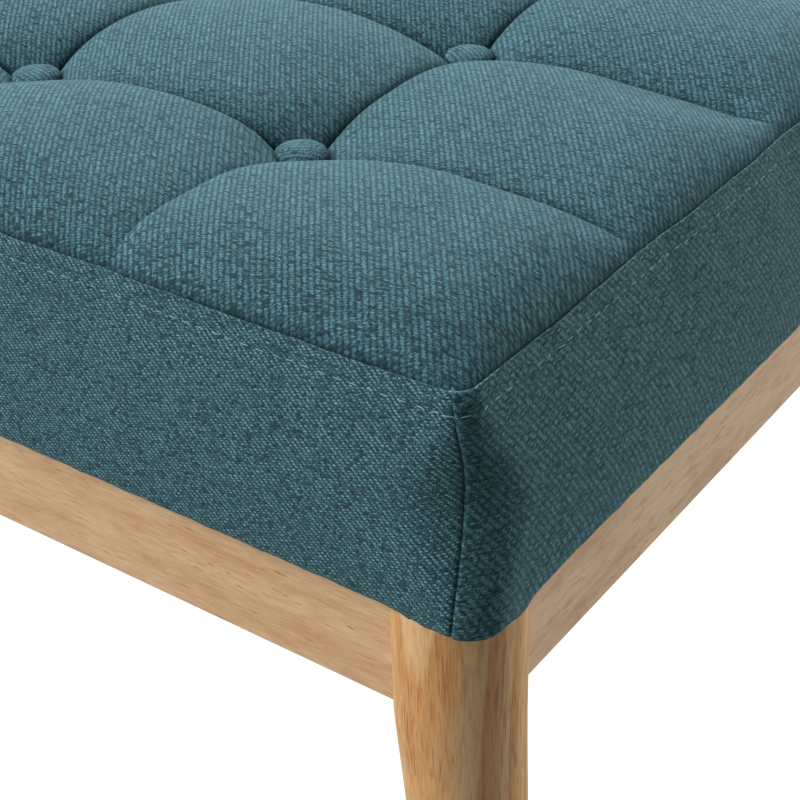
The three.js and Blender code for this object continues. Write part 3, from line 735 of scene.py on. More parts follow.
@dataclass(frozen=True)
class SeatPlan:
    """Places that the seat's pieces share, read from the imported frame."""

    half_length: float
    half_depth: float
    frame_top: float
    lines_x: tuple[float, ...]
    lines_y: tuple[float, ...]
    button_floor: float
    base_inset: float = 0.2 * MM
    boxing_height: float = 69 * MM
    seam_inset: float = 18.9 * MM
    button_sink: float = 6 * MM

    @classmethod
    def from_frame(cls, nodes: dict[str, Object]) -> "SeatPlan":
        """Reads the plan.

        Args:
            nodes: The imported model's nodes by name.

        Returns:
            The plan.
        """
        columns = sum(name.startswith("button_") and name.endswith("_1") for name in nodes)
        rows = sum(name.startswith("button_1_") for name in nodes)
        middles = {(i, j): sum(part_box(f"button_{i + 1}_{j + 1}"), Vector()) / 2
                   for i in range(columns) for j in range(rows)}
        return cls(
            half_length=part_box("cover_right")[1].x + cls.base_inset,
            half_depth=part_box("cover_back")[1].y + cls.base_inset,
            frame_top=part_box("rail_front")[1].z,
            lines_x=tuple(middles[i, 0].x for i in range(columns)),
            lines_y=tuple(middles[0, j].y for j in range(rows)),
            button_floor=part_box("button_1_1")[0].z,
        )

    @property
    def seam_height(self) -> float:
        """Height of the seam between the top panel and the boxing."""
        return self.frame_top + self.boxing_height

    @property
    def seam_halves(self) -> Pair:
        """Half the length and half the depth at the seam."""
        return self.half_length - self.seam_inset, self.half_depth - self.seam_inset

    @property
    def lines(self) -> tuple[tuple[float, ...], tuple[float, ...]]:
        """The button lines of X and of Y."""
        return self.lines_x, self.lines_y

    @property
    def spacing(self) -> Pair:
        """Distances between the button lines along X and Y."""
        return self.lines_x[1] - self.lines_x[0], self.lines_y[1] - self.lines_y[0]

    def inset(self, lean: Array) -> Array:
        """How far in from the bench's outline a level is, from its share of the lean."""
        return self.base_inset + lean * (self.seam_inset - self.base_inset)

    def halves(self, side: Side) -> Pair:
        """Half the bench's size along a side, and from the middle out to it."""
        sizes = (self.half_length, self.half_depth)
        return sizes if side.axis == 0 else sizes[::-1]


@dataclass(frozen=True)
class Tufting:
    """The rule for the tufted surface's height and for how it draws the seam in."""

    plan: SeatPlan
    fold_rise: float = 15.5 * MM
    pillow_rise: float = 7.5 * MM
    crown_power: float = 2.35
    edge_roll: float = 45 * MM
    edge_power: float = 3.0
    crease_depth: float = 3.2 * MM
    crease_reach: float = 3.2 * MM
    slit_depth: float = 2.6 * MM
    slit_reach: float = 0.55 * MM
    button_reach: float = 8 * MM
    fade: float = 26 * MM
    draw_in: float = 1.2 * MM
    uneven: float = 1.1 * MM
    shown: tuple[tuple[int, int, tuple[float, float, float, float]], ...] = (
        (8, 0, (2.0, 0.5, 2.0, -0.6)), (7, 0, (1.0, 2.0, 1.8, 3.0)), (8, 1, (-3.0, -1.0, 0.0, -4.0)),
    )
    shown_folds: tuple[tuple[int, int, int, tuple[float, float, float]], ...] = (
        (0, 7, 0, (2.2, 1.3, 0.6)), (0, 7, 1, (-2.6, -2.6, 1.2)), (1, 0, 8, (0.3, 1.7, -0.4)),
        (1, 0, 7, (-0.2, 0.8, 3.6)), (1, 1, 8, (0.5, -2.6, -4.9)),
    )
    knots: tuple[float, ...] = (0, 0.15, 0.5, 0.85, 1)
    seeds: tuple[int, int] = (11, 5)
    fullness: int = 6
    fold_width: float = 26 * MM
    front_soft: float = 0.85
    front_band: float = 14 * MM
    front_flatter: float = 0.8
    front_start: float = 6 * MM
    front_width: float = 30 * MM
    dimple: float = 1.5 * MM
    dimple_reach: float = 15 * MM
    pull_reach: float = 40 * MM
    pull_depth: float = 0.45
    # Painted shade for the cloth's colour: how it grows near the buttons, its falloff from the folds and the
    # painted shadow ring under each button's rim.
    pull_shade: float = 0.35
    shade_falls: tuple[Pair, ...] = ((0.75, 1.8 * MM), (0.25, 6 * MM))
    rim_radius: float = 9.4 * MM
    rim_width: float = 4 * MM
    rim_shade: float = 0.7
    valley_reach: float = 6 * MM
    seam_waver: float = 0.35 * MM
    seam_wave: float = 46 * MM

    def cell(self, axis: int, place: Array) -> tuple[Array, Array]:
        """Finds places among the button lines of one axis.

        Args:
            axis: 0 for the lines of X, 1 for those of Y.
            place: The places.

        Returns:
            The number of the cell that each is in, and its share of the way across it.
        """
        lines, half = self.plan.lines[axis], self.plan.seam_halves[axis]
        stops = np.array([-half, *lines, half])
        index = np.clip(np.searchsorted(lines, place), 0, len(lines))
        return index, np.clip((place - stops[index]) / (stops[index + 1] - stops[index]), 0, 1)

    def lift(self, x: Array, y: Array) -> Array:
        """How much fuller or flatter each pillow is than its neighbours.

        Args:
            x: Places along the bench.
            y: Places across it.

        Returns:
            The lifts, blended between each pillow's four corners.
        """
        columns, rows = (len(lines) + 1 for lines in self.plan.lines)
        draws = np.random.default_rng(self.seeds[0])
        spread = draws.uniform(-self.uneven, self.uneven, (columns, rows, 2, 2))
        for i, j, lifts in self.shown:
            spread[i, j] = np.reshape(lifts, (2, 2)).T * MM
        (i, u), (j, v) = self.cell(0, x), self.cell(1, y)
        near_side = spread[i, j, 0, 0] * (1 - u) + spread[i, j, 1, 0] * u
        far_side = spread[i, j, 0, 1] * (1 - u) + spread[i, j, 1, 1] * u
        return near_side * (1 - v) + far_side * v

    def fold_lift(self, axis: int, across: Array, along: Array) -> Array:
        """How much higher or lower each fold runs than its neighbours.

        Args:
            axis: 0 for the folds on the lines of X, 1 for those on the lines of Y.
            across: Places across the folds.
            along: Places along them.

        Returns:
            The lifts, 0 at the buttons and at the seam.
        """
        lines, stops = self.plan.lines[axis], self.plan.lines[1 - axis]
        shape = (len(lines), len(stops) + 1, 3)
        lifts = np.random.default_rng(self.seeds[1] + axis).uniform(-self.uneven, self.uneven, shape)
        for which, line, interval, values in self.shown_folds:
            if which == axis:
                lifts[line, interval] = np.array(values) * MM
        line = np.argmin([np.abs(across - place) for place in lines], axis=0)
        interval, share = self.cell(1 - axis, along)
        hills, lift = np.eye(len(self.knots))[1:-1], lifts[line, interval]
        return sum(np.interp(share, self.knots, hill) * lift[..., n] for n, hill in enumerate(hills))

    def rise_from(self, place: Array, lines: Sequence[float], spacing: float,
                  softer: Array | float = 0) -> tuple[Array, Array]:
        """Distance from the nearest button line and how far the pillow has risen there.

        Args:
            place: Places across the lines.
            lines: The button lines.
            spacing: The distance between them.
            softer: How much less steeply the pillow rises.

        Returns:
            The distances, and shares from 0 on a line to 1 half a cell away.
        """
        distance = np.min([np.abs(place - line) for line in lines], axis=0)
        share = np.minimum(distance / (spacing / 2), 1)
        return distance, 1 - (1 - share) ** (self.crown_power - softer)

    def edge(self, place: Array, half: float) -> Array:
        """How far the panel has rolled up from its seam."""
        share = np.clip((half - np.abs(place)) / self.edge_roll, 0, 1)
        return 1 - (1 - share) ** self.edge_power

    def height(self, x: Array, y: Array) -> Array:
        """Height of the top panel's face.

        Args:
            x: Places along the bench.
            y: Places across it.

        Returns:
            The heights.
        """
        plan = self.plan
        space_x, space_y = plan.spacing
        softer = self.front_flatter * smooth((plan.lines_y[0] + self.front_start - y) / self.front_width)
        from_x, rise_x = self.rise_from(x, plan.lines_x, space_x, softer)
        from_y, rise_y = self.rise_from(y, plan.lines_y, space_y)
        folds = rise_x + rise_y - rise_x * rise_y
        rise = -plan.button_sink + self.fold_rise * folds + self.pillow_rise * rise_x * rise_y
        full_x, full_y = (1 - (1 - np.minimum(2 * off / space, 1)) ** self.fullness
                          for off, space in ((from_x, space_x), (from_y, space_y)))
        rise = rise + self.lift(x, y) * (full_x * full_y)
        rise = rise + self.fold_lift(0, x, y) * near(from_x, self.fold_width)
        rise = rise + self.fold_lift(1, y, x) * near(from_y, self.fold_width)
        rise = rise - self.dimple * near(np.hypot(from_x, from_y), self.dimple_reach)
        half_x, half_y = plan.seam_halves
        rise = rise * self.edge(x, half_x) * self.edge(y, half_y)
        front = self.crease(from_x, from_y, half_y - np.abs(y)) * self.firm(y)
        return plan.seam_height + rise - front - self.crease(from_y, from_x, half_x - np.abs(x))

    def firm(self, y: Array) -> Array:
        """How firmly the folds across the bench are drawn in, less in front of the first button row."""
        return 1 - self.front_soft * smooth((self.plan.lines_y[0] - y) / self.front_band)

    def crease(self, across: Array, along: Array, to_seam: Array) -> Array:
        """Depth of the folds along one set of button lines.

        Args:
            across: Distances from the fold.
            along: Distances from the nearest button, along the fold.
            to_seam: Distances from the seam at the fold's end.

        Returns:
            The depths.
        """
        strength = 1 - self.pull_depth + self.pull_depth * near(along, self.pull_reach)
        strength = strength * smooth(to_seam / self.fade)
        away = smooth(along / self.button_reach)
        wide = self.crease_depth * np.exp(-across / self.crease_reach)
        slit = self.slit_depth * near(across, self.slit_reach)
        return (wide + slit) * strength * away

    def shadow(self, x: Array, y: Array) -> Array:
        """How deep in a fold or under a button's rim each place lies, for the shade painted into the cloth's
        colour.

        Args:
            x: Places along the bench.
            y: Places across it.

        Returns:
            Shares from 0 in the open to 1 at the bottom of a fold.
        """
        plan = self.plan
        from_x, _ = self.rise_from(x, plan.lines_x, plan.spacing[0])
        from_y, _ = self.rise_from(y, plan.lines_y, plan.spacing[1])
        half_x, half_y = plan.seam_halves
        deep = np.zeros_like(x)
        for across, along, to_seam, share in ((from_x, from_y, half_y - np.abs(y), self.firm(y)),
                                              (from_y, from_x, half_x - np.abs(x), 1.0)):
            fall = sum(part * np.exp(-across / reach) for part, reach in self.shade_falls)
            strength = 1 - self.pull_shade + self.pull_shade * near(along, self.pull_reach)
            deep = np.maximum(deep, fall * strength * smooth(to_seam / self.fade) * share)
        # A painted shadow under each button's rim.
        rim = 1 - smooth((np.hypot(from_x, from_y) - self.rim_radius) / self.rim_width)
        return np.maximum(deep, self.rim_shade * rim)

    def valley(self, x: Array, y: Array) -> Array:
        """How much lower than the cloth the filling stays under the folds.

        Args:
            x: Places along the bench.
            y: Places across it.

        Returns:
            The depths.
        """
        from_x, _ = self.rise_from(x, self.plan.lines_x, self.plan.spacing[0])
        from_y, _ = self.rise_from(y, self.plan.lines_y, self.plan.spacing[1])
        folds = near(from_x, self.valley_reach) + near(from_y, self.valley_reach)
        return (self.crease_depth + self.slit_depth) * folds

    def drawn(self, side: Side, along: Array) -> Array:
        """How far the folds draw the seam in.

        Args:
            side: The side of the cushion.
            along: Places along it.

        Returns:
            The distances inwards.
        """
        turned = along if side in (Side.FRONT, Side.RIGHT) else -along
        _, rise = self.rise_from(turned, self.plan.lines[side.axis], self.plan.spacing[side.axis])
        return self.draw_in * (1 - rise) + self.seam_waver * ripple(along, self.seam_wave, 1.3 + side.value)


@dataclass(frozen=True)
class TopPanel:
    """The tufted top panel of the cover."""

    plan: SeatPlan
    tufting: Tufting
    fine_step: float = 0.45 * MM
    growth: float = 1.3
    coarse_step: float = 7 * MM
    seam_depth: float = 3.0 * MM
    seam_reach: float = 1.3 * MM
    # A painted dark line of shade along the seam: how dark it is and how wide.
    seam_shade: float = 0.9
    seam_line: float = 1.0 * MM
    tuck: float = 2.2 * MM
    corner_radius: float = 6.6 * MM
    corner_region: float = 62 * MM
    corner_dip: float = -0.6 * MM
    corner_reach: float = 24 * MM
    draw_reach: float = 22 * MM
    patch_size: float = 0.45 * MM
    patch_wave: float = 38 * MM
    patch_seed: float = 3.1
    patch_fade: float = 30 * MM
    cloth: float = 1.2 * MM
    take_up: float = 70 * MM
    cut: Cut = Cut((0.013, 1.516), (1.157, -0.631))

    @property
    def halves(self) -> Pair:
        """Half the panel's length and depth, up to where it dips behind the boxing's lip."""
        half_x, half_y = self.plan.seam_halves
        return half_x - self.tuck, half_y - self.tuck

    def offsets(self, span: float) -> list[float]:
        """Distances from a fine line that grow to coarse steps.

        Args:
            span: The distance to fill.

        Returns:
            The distances, from the first step to the span.
        """
        places, step = [0.0], self.fine_step
        while places[-1] + step < span:
            places.append(places[-1] + step)
            step = min(step * self.growth, self.coarse_step)
        scale = span / places[-1] if len(places) > 1 else 1
        return [place * scale for place in places[1:]]

    def lines(self, buttons: Sequence[float], half: float) -> Array:
        """Grid lines across the panel, finest on the seams and the button lines.

        Args:
            buttons: The button lines.
            half: Half the panel's size.

        Returns:
            The lines in order.
        """
        stops = [-half, *buttons, half]
        found = [-half]
        for low, high in zip(stops, stops[1:]):
            steps = self.offsets((high - low) / 2)
            found += [low + step for step in steps] + [high - step for step in reversed(steps[:-1])] + [high]
        return np.array(found)

    def rounded(self, x: Array, y: Array, half_x: float, half_y: float,
                corner_radius: float | None = None) -> tuple[Array, Array]:
        """Rounds the corners of a square-cornered grid.

        Args:
            x: Grid places along the bench.
            y: Grid places across it.
            half_x: Half the panel's length.
            half_y: Half the panel's depth.
            corner_radius: The corners' radius, the panel's own if left out.

        Returns:
            The rounded places.
        """
        region = self.corner_region
        a = np.clip((np.abs(x) - (half_x - region)) / region, 0, 1)
        b = np.clip((np.abs(y) - (half_y - region)) / region, 0, 1)
        far = np.maximum(a, b)
        ratio = np.divide(np.minimum(a, b), far, out=np.zeros_like(far), where=far > 0)
        radius = (corner_radius or self.corner_radius) / region
        centre = 1 - radius
        size = 1 + ratio ** 2
        half_b = centre * (1 + ratio)
        reach = (half_b + np.sqrt(np.maximum(half_b ** 2 - size * (2 * centre ** 2 - radius ** 2), 0))) / size
        reach = np.where(ratio <= centre, 1, reach)
        shrink = 1 - (1 - reach) * far ** 3
        inner_x, inner_y = np.abs(x) - a * region, np.abs(y) - b * region
        return np.sign(x) * (inner_x + a * region * shrink), np.sign(y) * (inner_y + b * region * shrink)

    def corner_fall(self, x: Array, y: Array, half_x: float, half_y: float) -> Array:
        """How far the panel falls towards its corners."""
        return self.corner_dip * near(np.hypot(half_x - np.abs(x), half_y - np.abs(y)), self.corner_reach)

    def build(self, finish: Material) -> Object:
        """Builds the panel.

        Args:
            finish: The cloth.

        Returns:
            The panel.
        """
        half_x, half_y = self.halves
        grid_x, grid_y = np.meshgrid(*(self.lines(*stops) for stops in zip(self.plan.lines, self.halves)))
        to_edge = np.minimum(half_x - np.abs(grid_x), half_y - np.abs(grid_y))
        height = self.tufting.height(grid_x, grid_y)
        height = height - self.seam_depth * np.exp(-to_edge / self.seam_reach)
        patches = self.patch_size * patchy(grid_x, grid_y, self.patch_wave, self.patch_seed)
        height = height + patches * smooth(to_edge / self.patch_fade)
        height = height - self.corner_fall(grid_x, grid_y, half_x, half_y)
        x, y = self.rounded(grid_x, grid_y, half_x, half_y)
        drawn = self.tufting.drawn
        pull = np.where(y < 0, drawn(Side.FRONT, x), drawn(Side.BACK, -x))
        y = y - np.sign(y) * near(half_y - np.abs(grid_y), self.draw_reach) * pull
        pull = np.where(x > 0, drawn(Side.RIGHT, y), drawn(Side.LEFT, -y))
        x = x - np.sign(x) * near(half_x - np.abs(grid_x), self.draw_reach) * pull
        points = np.stack([x, y, height], axis=-1)
        faces = grid_faces(*grid_x.shape)
        piece = make_object("top_panel", points, faces, [finish], self.cut.yarns(x, y), 180)
        # The fold attribute darkens the cloth's colour: painted shade in the folds, painted shadows under the
        # buttons' rims and a painted dark line along the seam.
        deep = piece.data.attributes.new("fold", "FLOAT", "POINT")
        seam = self.seam_shade * np.exp(-to_edge / self.seam_line)
        shadow = np.maximum(self.tufting.shadow(grid_x, grid_y), seam)
        deep.data.foreach_set("value", shadow.ravel().astype(np.float32))
        thicken(piece, self.cloth)
        settle(piece, "twill", "cover_top")
        return piece


@dataclass(frozen=True)
class Boxing:
    """The boxed sides of the cover: each a panel from under the board, round its edge and up to the seam."""

    plan: SeatPlan
    tufting: Tufting
    wrap_width: float = 44 * MM
    roll_radius: float = 3 * MM
    clearance: float = 0.3 * MM
    base_radius: float = 14 * MM
    body_radius: float = 32 * MM
    top_radius: float = 7.5 * MM
    swelling_ends: float = 0.55
    narrowing_starts: float = 0.5
    lean_start: float = 0.065
    lean_power: float = 1.7
    seam_sway: tuple[float, float, float] = (-0.4 * MM, -7.2 * MM, -2.4 * MM)
    sway_ends: tuple[float, float, float] = (0.62, 0.65, 0.3)
    lip_width: float = 1.4 * MM
    tuck_depth: float = 3.4 * MM
    turned_in: Pair = (1.5 * MM, 4 * MM)
    column_step: float = 2.975 * MM
    corner_columns: int = 20
    groove: float = 1.1 * MM
    groove_reach: float = 0.4 * MM
    groove_fade: float = 0.75
    corner_dip: float = -0.6 * MM
    corner_reach: float = 24 * MM
    patch_size: float = 0.9 * MM
    patch_wave: float = 90 * MM
    stitch_drop: float = 5.6 * MM
    stitch_pitch: float = 5.95 * MM
    stitch_dent: Pair = (0.5 * MM, 1.1 * MM)
    stitch_swell: Pair = (0.35 * MM, 2.2 * MM)
    swell_rise: float = 3 * MM
    pucker: float = 0.25 * MM
    pucker_wave: float = 7.5 * MM
    bulge: float = 1.6 * MM
    bulge_reach: float = 20 * MM
    droop: float = 1.1 * MM
    droop_reach: float = 16 * MM
    droop_shift: float = 5 * MM
    droop_top: float = 25 * MM
    sag: float = 1.7 * MM
    sag_inset: float = 9 * MM
    sag_blend: float = 5 * MM
    sag_change: tuple[tuple[float, float, float], ...] = ((-0.45, 12 * MM, 15 * MM), (0.7, 22 * MM, 14 * MM))
    hem_waver: float = 0.3 * MM
    hem_wave: float = 19 * MM
    leg_radius: float = 21.72 * MM
    beside: float = 1.3 * MM
    cloth: float = 1.2 * MM
    cut_width: float = 128 * MM
    cuts: tuple[Cut, Cut] = (Cut((0.03, 1.665), (1.12, 0.0)), Cut((0.0, 1.6), (1.035, -1.0)))

    @property
    def base(self) -> float:
        """Height of the boxing's underside."""
        return self.plan.frame_top + self.clearance

    def lean(self, share: Array) -> Array:
        """How far a level has leant in, as a share of the seam's inset."""
        return np.clip((share - self.lean_start) / (1 - self.lean_start), 0, 1) ** self.lean_power

    def radius(self, share: Array) -> Array:
        """The corner radius of a level.

        Args:
            share: Shares of the boxing's height.

        Returns:
            The radii.
        """
        lower = self.base_radius + (self.body_radius - self.base_radius) * smooth(share / self.swelling_ends)
        narrower = smooth((share - self.narrowing_starts) / (1 - self.narrowing_starts))
        return lower - (self.body_radius - self.top_radius) * narrower

    def section(self) -> Array:
        """The boxing's cross-section, from its raw edge under the board up to the seam.

        Returns:
            Rows of inset, height, corner radius and share of the height.
        """
        plan, roll = self.plan, self.roll_radius
        height = plan.seam_height - self.base
        start = plan.base_inset + roll
        rows = [(inset, self.base, self.base_radius - roll, 0.0)
                for inset in np.linspace(self.wrap_width, start + 2 * MM, 9)]
        for inset, level in arc((start, self.base + roll), roll, -90, -180, 6):
            rows.append((inset, level, self.base_radius - max(inset - plan.base_inset, 0), 0.0))
        first = roll / height
        for share in np.linspace(first, 1, 40)[1:]:
            rows.append((plan.inset(self.lean(share)), self.base + share * height, self.radius(share), share))
        lip = plan.seam_inset + self.lip_width / 2
        for inset, level in arc((lip, plan.seam_height), self.lip_width / 2, 180, 0, 6)[1:]:
            rows.append((inset, level, self.top_radius, 1.0))
        for drop in (0.35, 0.7, 1.0):
            rows.append((lip + self.lip_width / 2 + 0.2 * MM, plan.seam_height - drop * self.tuck_depth,
                         self.top_radius, 1.0))
        return np.array(rows)

    def seam_angle(self, share: Array, radius: Array) -> Array:
        """Where the corner seam runs, as an angle round the corner from the side before it.

        Args:
            share: Shares of the boxing's height.
            radius: The corner's radius there.

        Returns:
            The angles, 45 degrees being the corner's middle.
        """
        whole, low, high = self.seam_sway
        low_end, high_start, blend = self.sway_ends
        sway = whole + low * (1 - smooth(share / low_end)) + high * smooth((share - high_start) / blend)
        return math.pi / 4 + sway / np.maximum(radius, self.base_radius * (1 - share))

    def surface(self, side: Side, rows: Array, straight: Array, turn: Array,
                tuck: Array | float = 0) -> tuple[Array, Array]:
        """Places on the cushion's side.

        Args:
            side: The side.
            rows: Rows of the cross-section.
            straight: Shares along the straight part, from -1 to 1.
            turn: Shares of the way round each corner to its seam, from -1 to 1.
            tuck: How far each column is turned in behind the seam.

        Returns:
            The points, row by row, and how far along the side each one is.
        """
        inset, level, radius, share = (rows[:, i][:, None] for i in range(4))
        half_along, half_out = self.plan.halves(side)
        last = self.seam_angle(share, radius)
        first = math.pi / 2 - last
        along = (half_along - inset - radius) * straight
        angles = np.where(turn < 0, first, last) * turn
        run = along + radius * angles
        corner = half_along - inset - CORNER_CUT * radius - np.abs(along + radius * np.sin(angles))
        before = corner * np.where(along > 0, 1, -1) - self.droop_shift
        drawn = np.clip(self.lean(share), 0, 1) * self.tufting.drawn(side, along) * (turn == 0)
        outer = level <= self.base + self.roll_radius + 0 * run
        skirt = np.where(outer, smooth((30 * MM - inset) / (26 * MM)), 1 - smooth(share / 0.45))
        seam_gap = np.minimum(last - angles, angles + first) * radius
        groove = self.groove * np.exp(-np.maximum(seam_gap, 0) / self.groove_reach) * (turn != 0)
        groove = groove * (1 - self.groove_fade * smooth((share - 0.7) / 0.25))
        puff = self.puff(side, run, level, share) + self.bulge * near(before, self.bulge_reach) * skirt
        reach = radius + puff - groove - tuck
        plan_along = along + reach * np.sin(angles)
        plan_out = half_out - inset - drawn - radius + reach * np.cos(angles)
        low = level < self.base + self.droop_top
        height = level - self.droop * near(before, self.droop_reach) * skirt * low
        height = height - self.sagged(along, corner, inset, share)
        height = height - self.corner_dip * near(corner, self.corner_reach) * smooth((share - 0.75) / 0.25)
        height = height - tuck * smooth((share - 0.9) / 0.1)
        waver = self.hem_waver * ripple(run, self.hem_wave, 2.0 + side.value)
        height = height - waver * outer * (1 - smooth(share / 0.12))
        height = np.where((share == 0) & (inset > self.sag_inset), level, height)
        plan_along, plan_out, height = self.clear_of_leg(plan_along, plan_out, height, half_along, half_out)
        x, y = side.turned(plan_along, plan_out)
        return np.stack([x, y, height], axis=-1), run

    def puff(self, side: Side, run: Array, level: Array, share: Array) -> Array:
        """How far the cloth stands out: uneven filling, the topstitch's dent and the puckers at the seam.

        Args:
            side: The side.
            run: Places along the cloth.
            level: Heights.
            share: Shares of the boxing's height.

        Returns:
            The distances outwards.
        """
        body = smooth(share / 0.25) * smooth((1 - share) / 0.15)
        stitch = self.plan.seam_height - self.stitch_drop
        (dent, dent_reach), (swell, swell_reach) = self.stitch_dent, self.stitch_swell
        puff = self.patch_size * patchy(run, level + 0 * run, self.patch_wave, 5.0 + side.value) * body
        puff = puff - dent * near(level - stitch, dent_reach) * (share < 1)
        puff = puff + swell * near(level - (stitch + self.swell_rise), swell_reach) * (share < 1)
        pucker = self.pucker * ripple(run, self.pucker_wave, 4.0 + side.value)
        return puff + pucker * smooth((share - 0.84) / 0.1)

    def sagged(self, along: Array, corner: Array, inset: Array, share: Array) -> Array:
        """How far the hem sags over the rail, unevenly near the corners.

        Args:
            along: Places along the side.
            corner: Distances from the corner's seam.
            inset: Distances in from the outline.
            share: Shares of the boxing's height.

        Returns:
            The drops.
        """
        after, before = (size * near(corner - place, reach) for size, place, reach in self.sag_change)
        sag = self.sag * (1 + np.where(along > 0, after, before))
        return sag * smooth((self.sag_inset - inset) / self.sag_blend) * (1 - smooth(share / 0.2))

    def build(self, side: Side, finish: Material) -> Object:
        """Builds one panel.

        Args:
            side: The side that it covers.
            finish: The cloth.

        Returns:
            The panel.
        """
        rows = self.section()
        count = 2 * int(self.plan.halves(side)[0] / self.column_step)
        bend = np.append(1 - (1 - np.linspace(0, 1, self.corner_columns)[1:]) ** 2, (1, 1))
        tuck = np.append(np.zeros(self.corner_columns - 1), self.turned_in)
        ends = np.ones_like(bend)
        straight = np.concatenate([-ends, np.linspace(-1, 1, count + 1), ends])[None, :]
        turn = np.concatenate([-bend[::-1], np.zeros(count + 1), bend])[None, :]
        tucks = np.concatenate([tuck[::-1], np.zeros(count + 1), tuck])[None, :]
        points, run = self.surface(side, rows, straight, turn, tucks)
        rise = np.concatenate([[0], np.cumsum(np.hypot(np.diff(rows[:, 0]), np.diff(rows[:, 1])))])[:, None]
        yarn = self.cuts[side.axis].yarns(run, rise + 0 * run)
        piece = make_object(f"boxing_{side.label}", points, grid_faces(*run.shape), [finish], yarn, 180)
        thicken(piece, self.cloth)
        settle(piece, "twill", f"cover_{side.label}")
        2 * self.plan.halves(side)[0]
        return piece

    def stitch_spots(self, side: Side) -> tuple[Array, Array, Array]:
        """Where the topstitches lie on one side.

        Args:
            side: The side.

        Returns:
            The stitches' middles, and the directions along them and out of the cloth.
        """
        level = self.plan.seam_height - self.stitch_drop
        share = (level - self.base) / (self.plan.seam_height - self.base)
        inset = self.plan.inset(self.lean(share))
        radius = float(self.radius(share))
        below = (inset - 0.3 * MM, level - 1 * MM, radius, share - 0.015)
        rows = np.array([(inset, level, radius, share), below])
        half_along, _ = self.plan.halves(side)
        straight_end = half_along - inset - radius
        total = straight_end + radius * math.pi / 4
        count = round(2 * total / self.stitch_pitch)
        middle = (np.arange(count) - (count - 1) / 2) * 2 * total / count
        ends = np.concatenate([middle - 0.5 * MM, middle + 0.5 * MM])
        straight = np.clip(ends / straight_end, -1, 1)
        turn = np.sign(ends) * np.maximum(np.abs(ends) - straight_end, 0) / (radius * math.pi / 4)
        points, _ = self.surface(side, rows, straight[None, :], turn[None, :])
        start, stop = points[0, :count], points[0, count:]
        along = stop - start
        along /= np.linalg.norm(along, axis=1)[:, None]
        down = points[1, :count] - start
        out = np.cross(down, along)
        out /= np.linalg.norm(out, axis=1)[:, None]
        return (start + stop) / 2, along, out

    def clear_of_leg(self, along: Array, out: Array, height: Array,
                     half_along: float, half_out: float) -> tuple[Array, Array, Array]:
        """Keeps the drooping hem off its leg.

        Args:
            along: Places along the side.
            out: Distances out from the bench's middle.
            height: Heights.
            half_along: Half the bench's size along the side.
            half_out: Half its size across.

        Returns:
            The places and heights: beside the leg's top when just inside it, above the top further in.
        """
        axis_along = np.sign(along) * (half_along - self.leg_radius)
        axis_out = half_out - self.leg_radius
        away = np.hypot(along - axis_along, out - axis_out)
        least = self.leg_radius + self.clearance
        low = (height < self.base - 0.05 * MM) & (away < least)
        beside = low & (least - away < self.beside)
        grow = np.where(beside, least / np.maximum(away, 1e-6), 1)
        height = np.where(low & ~beside, self.base, height)
        return axis_along + (along - axis_along) * grow, axis_out + (out - axis_out) * grow, height


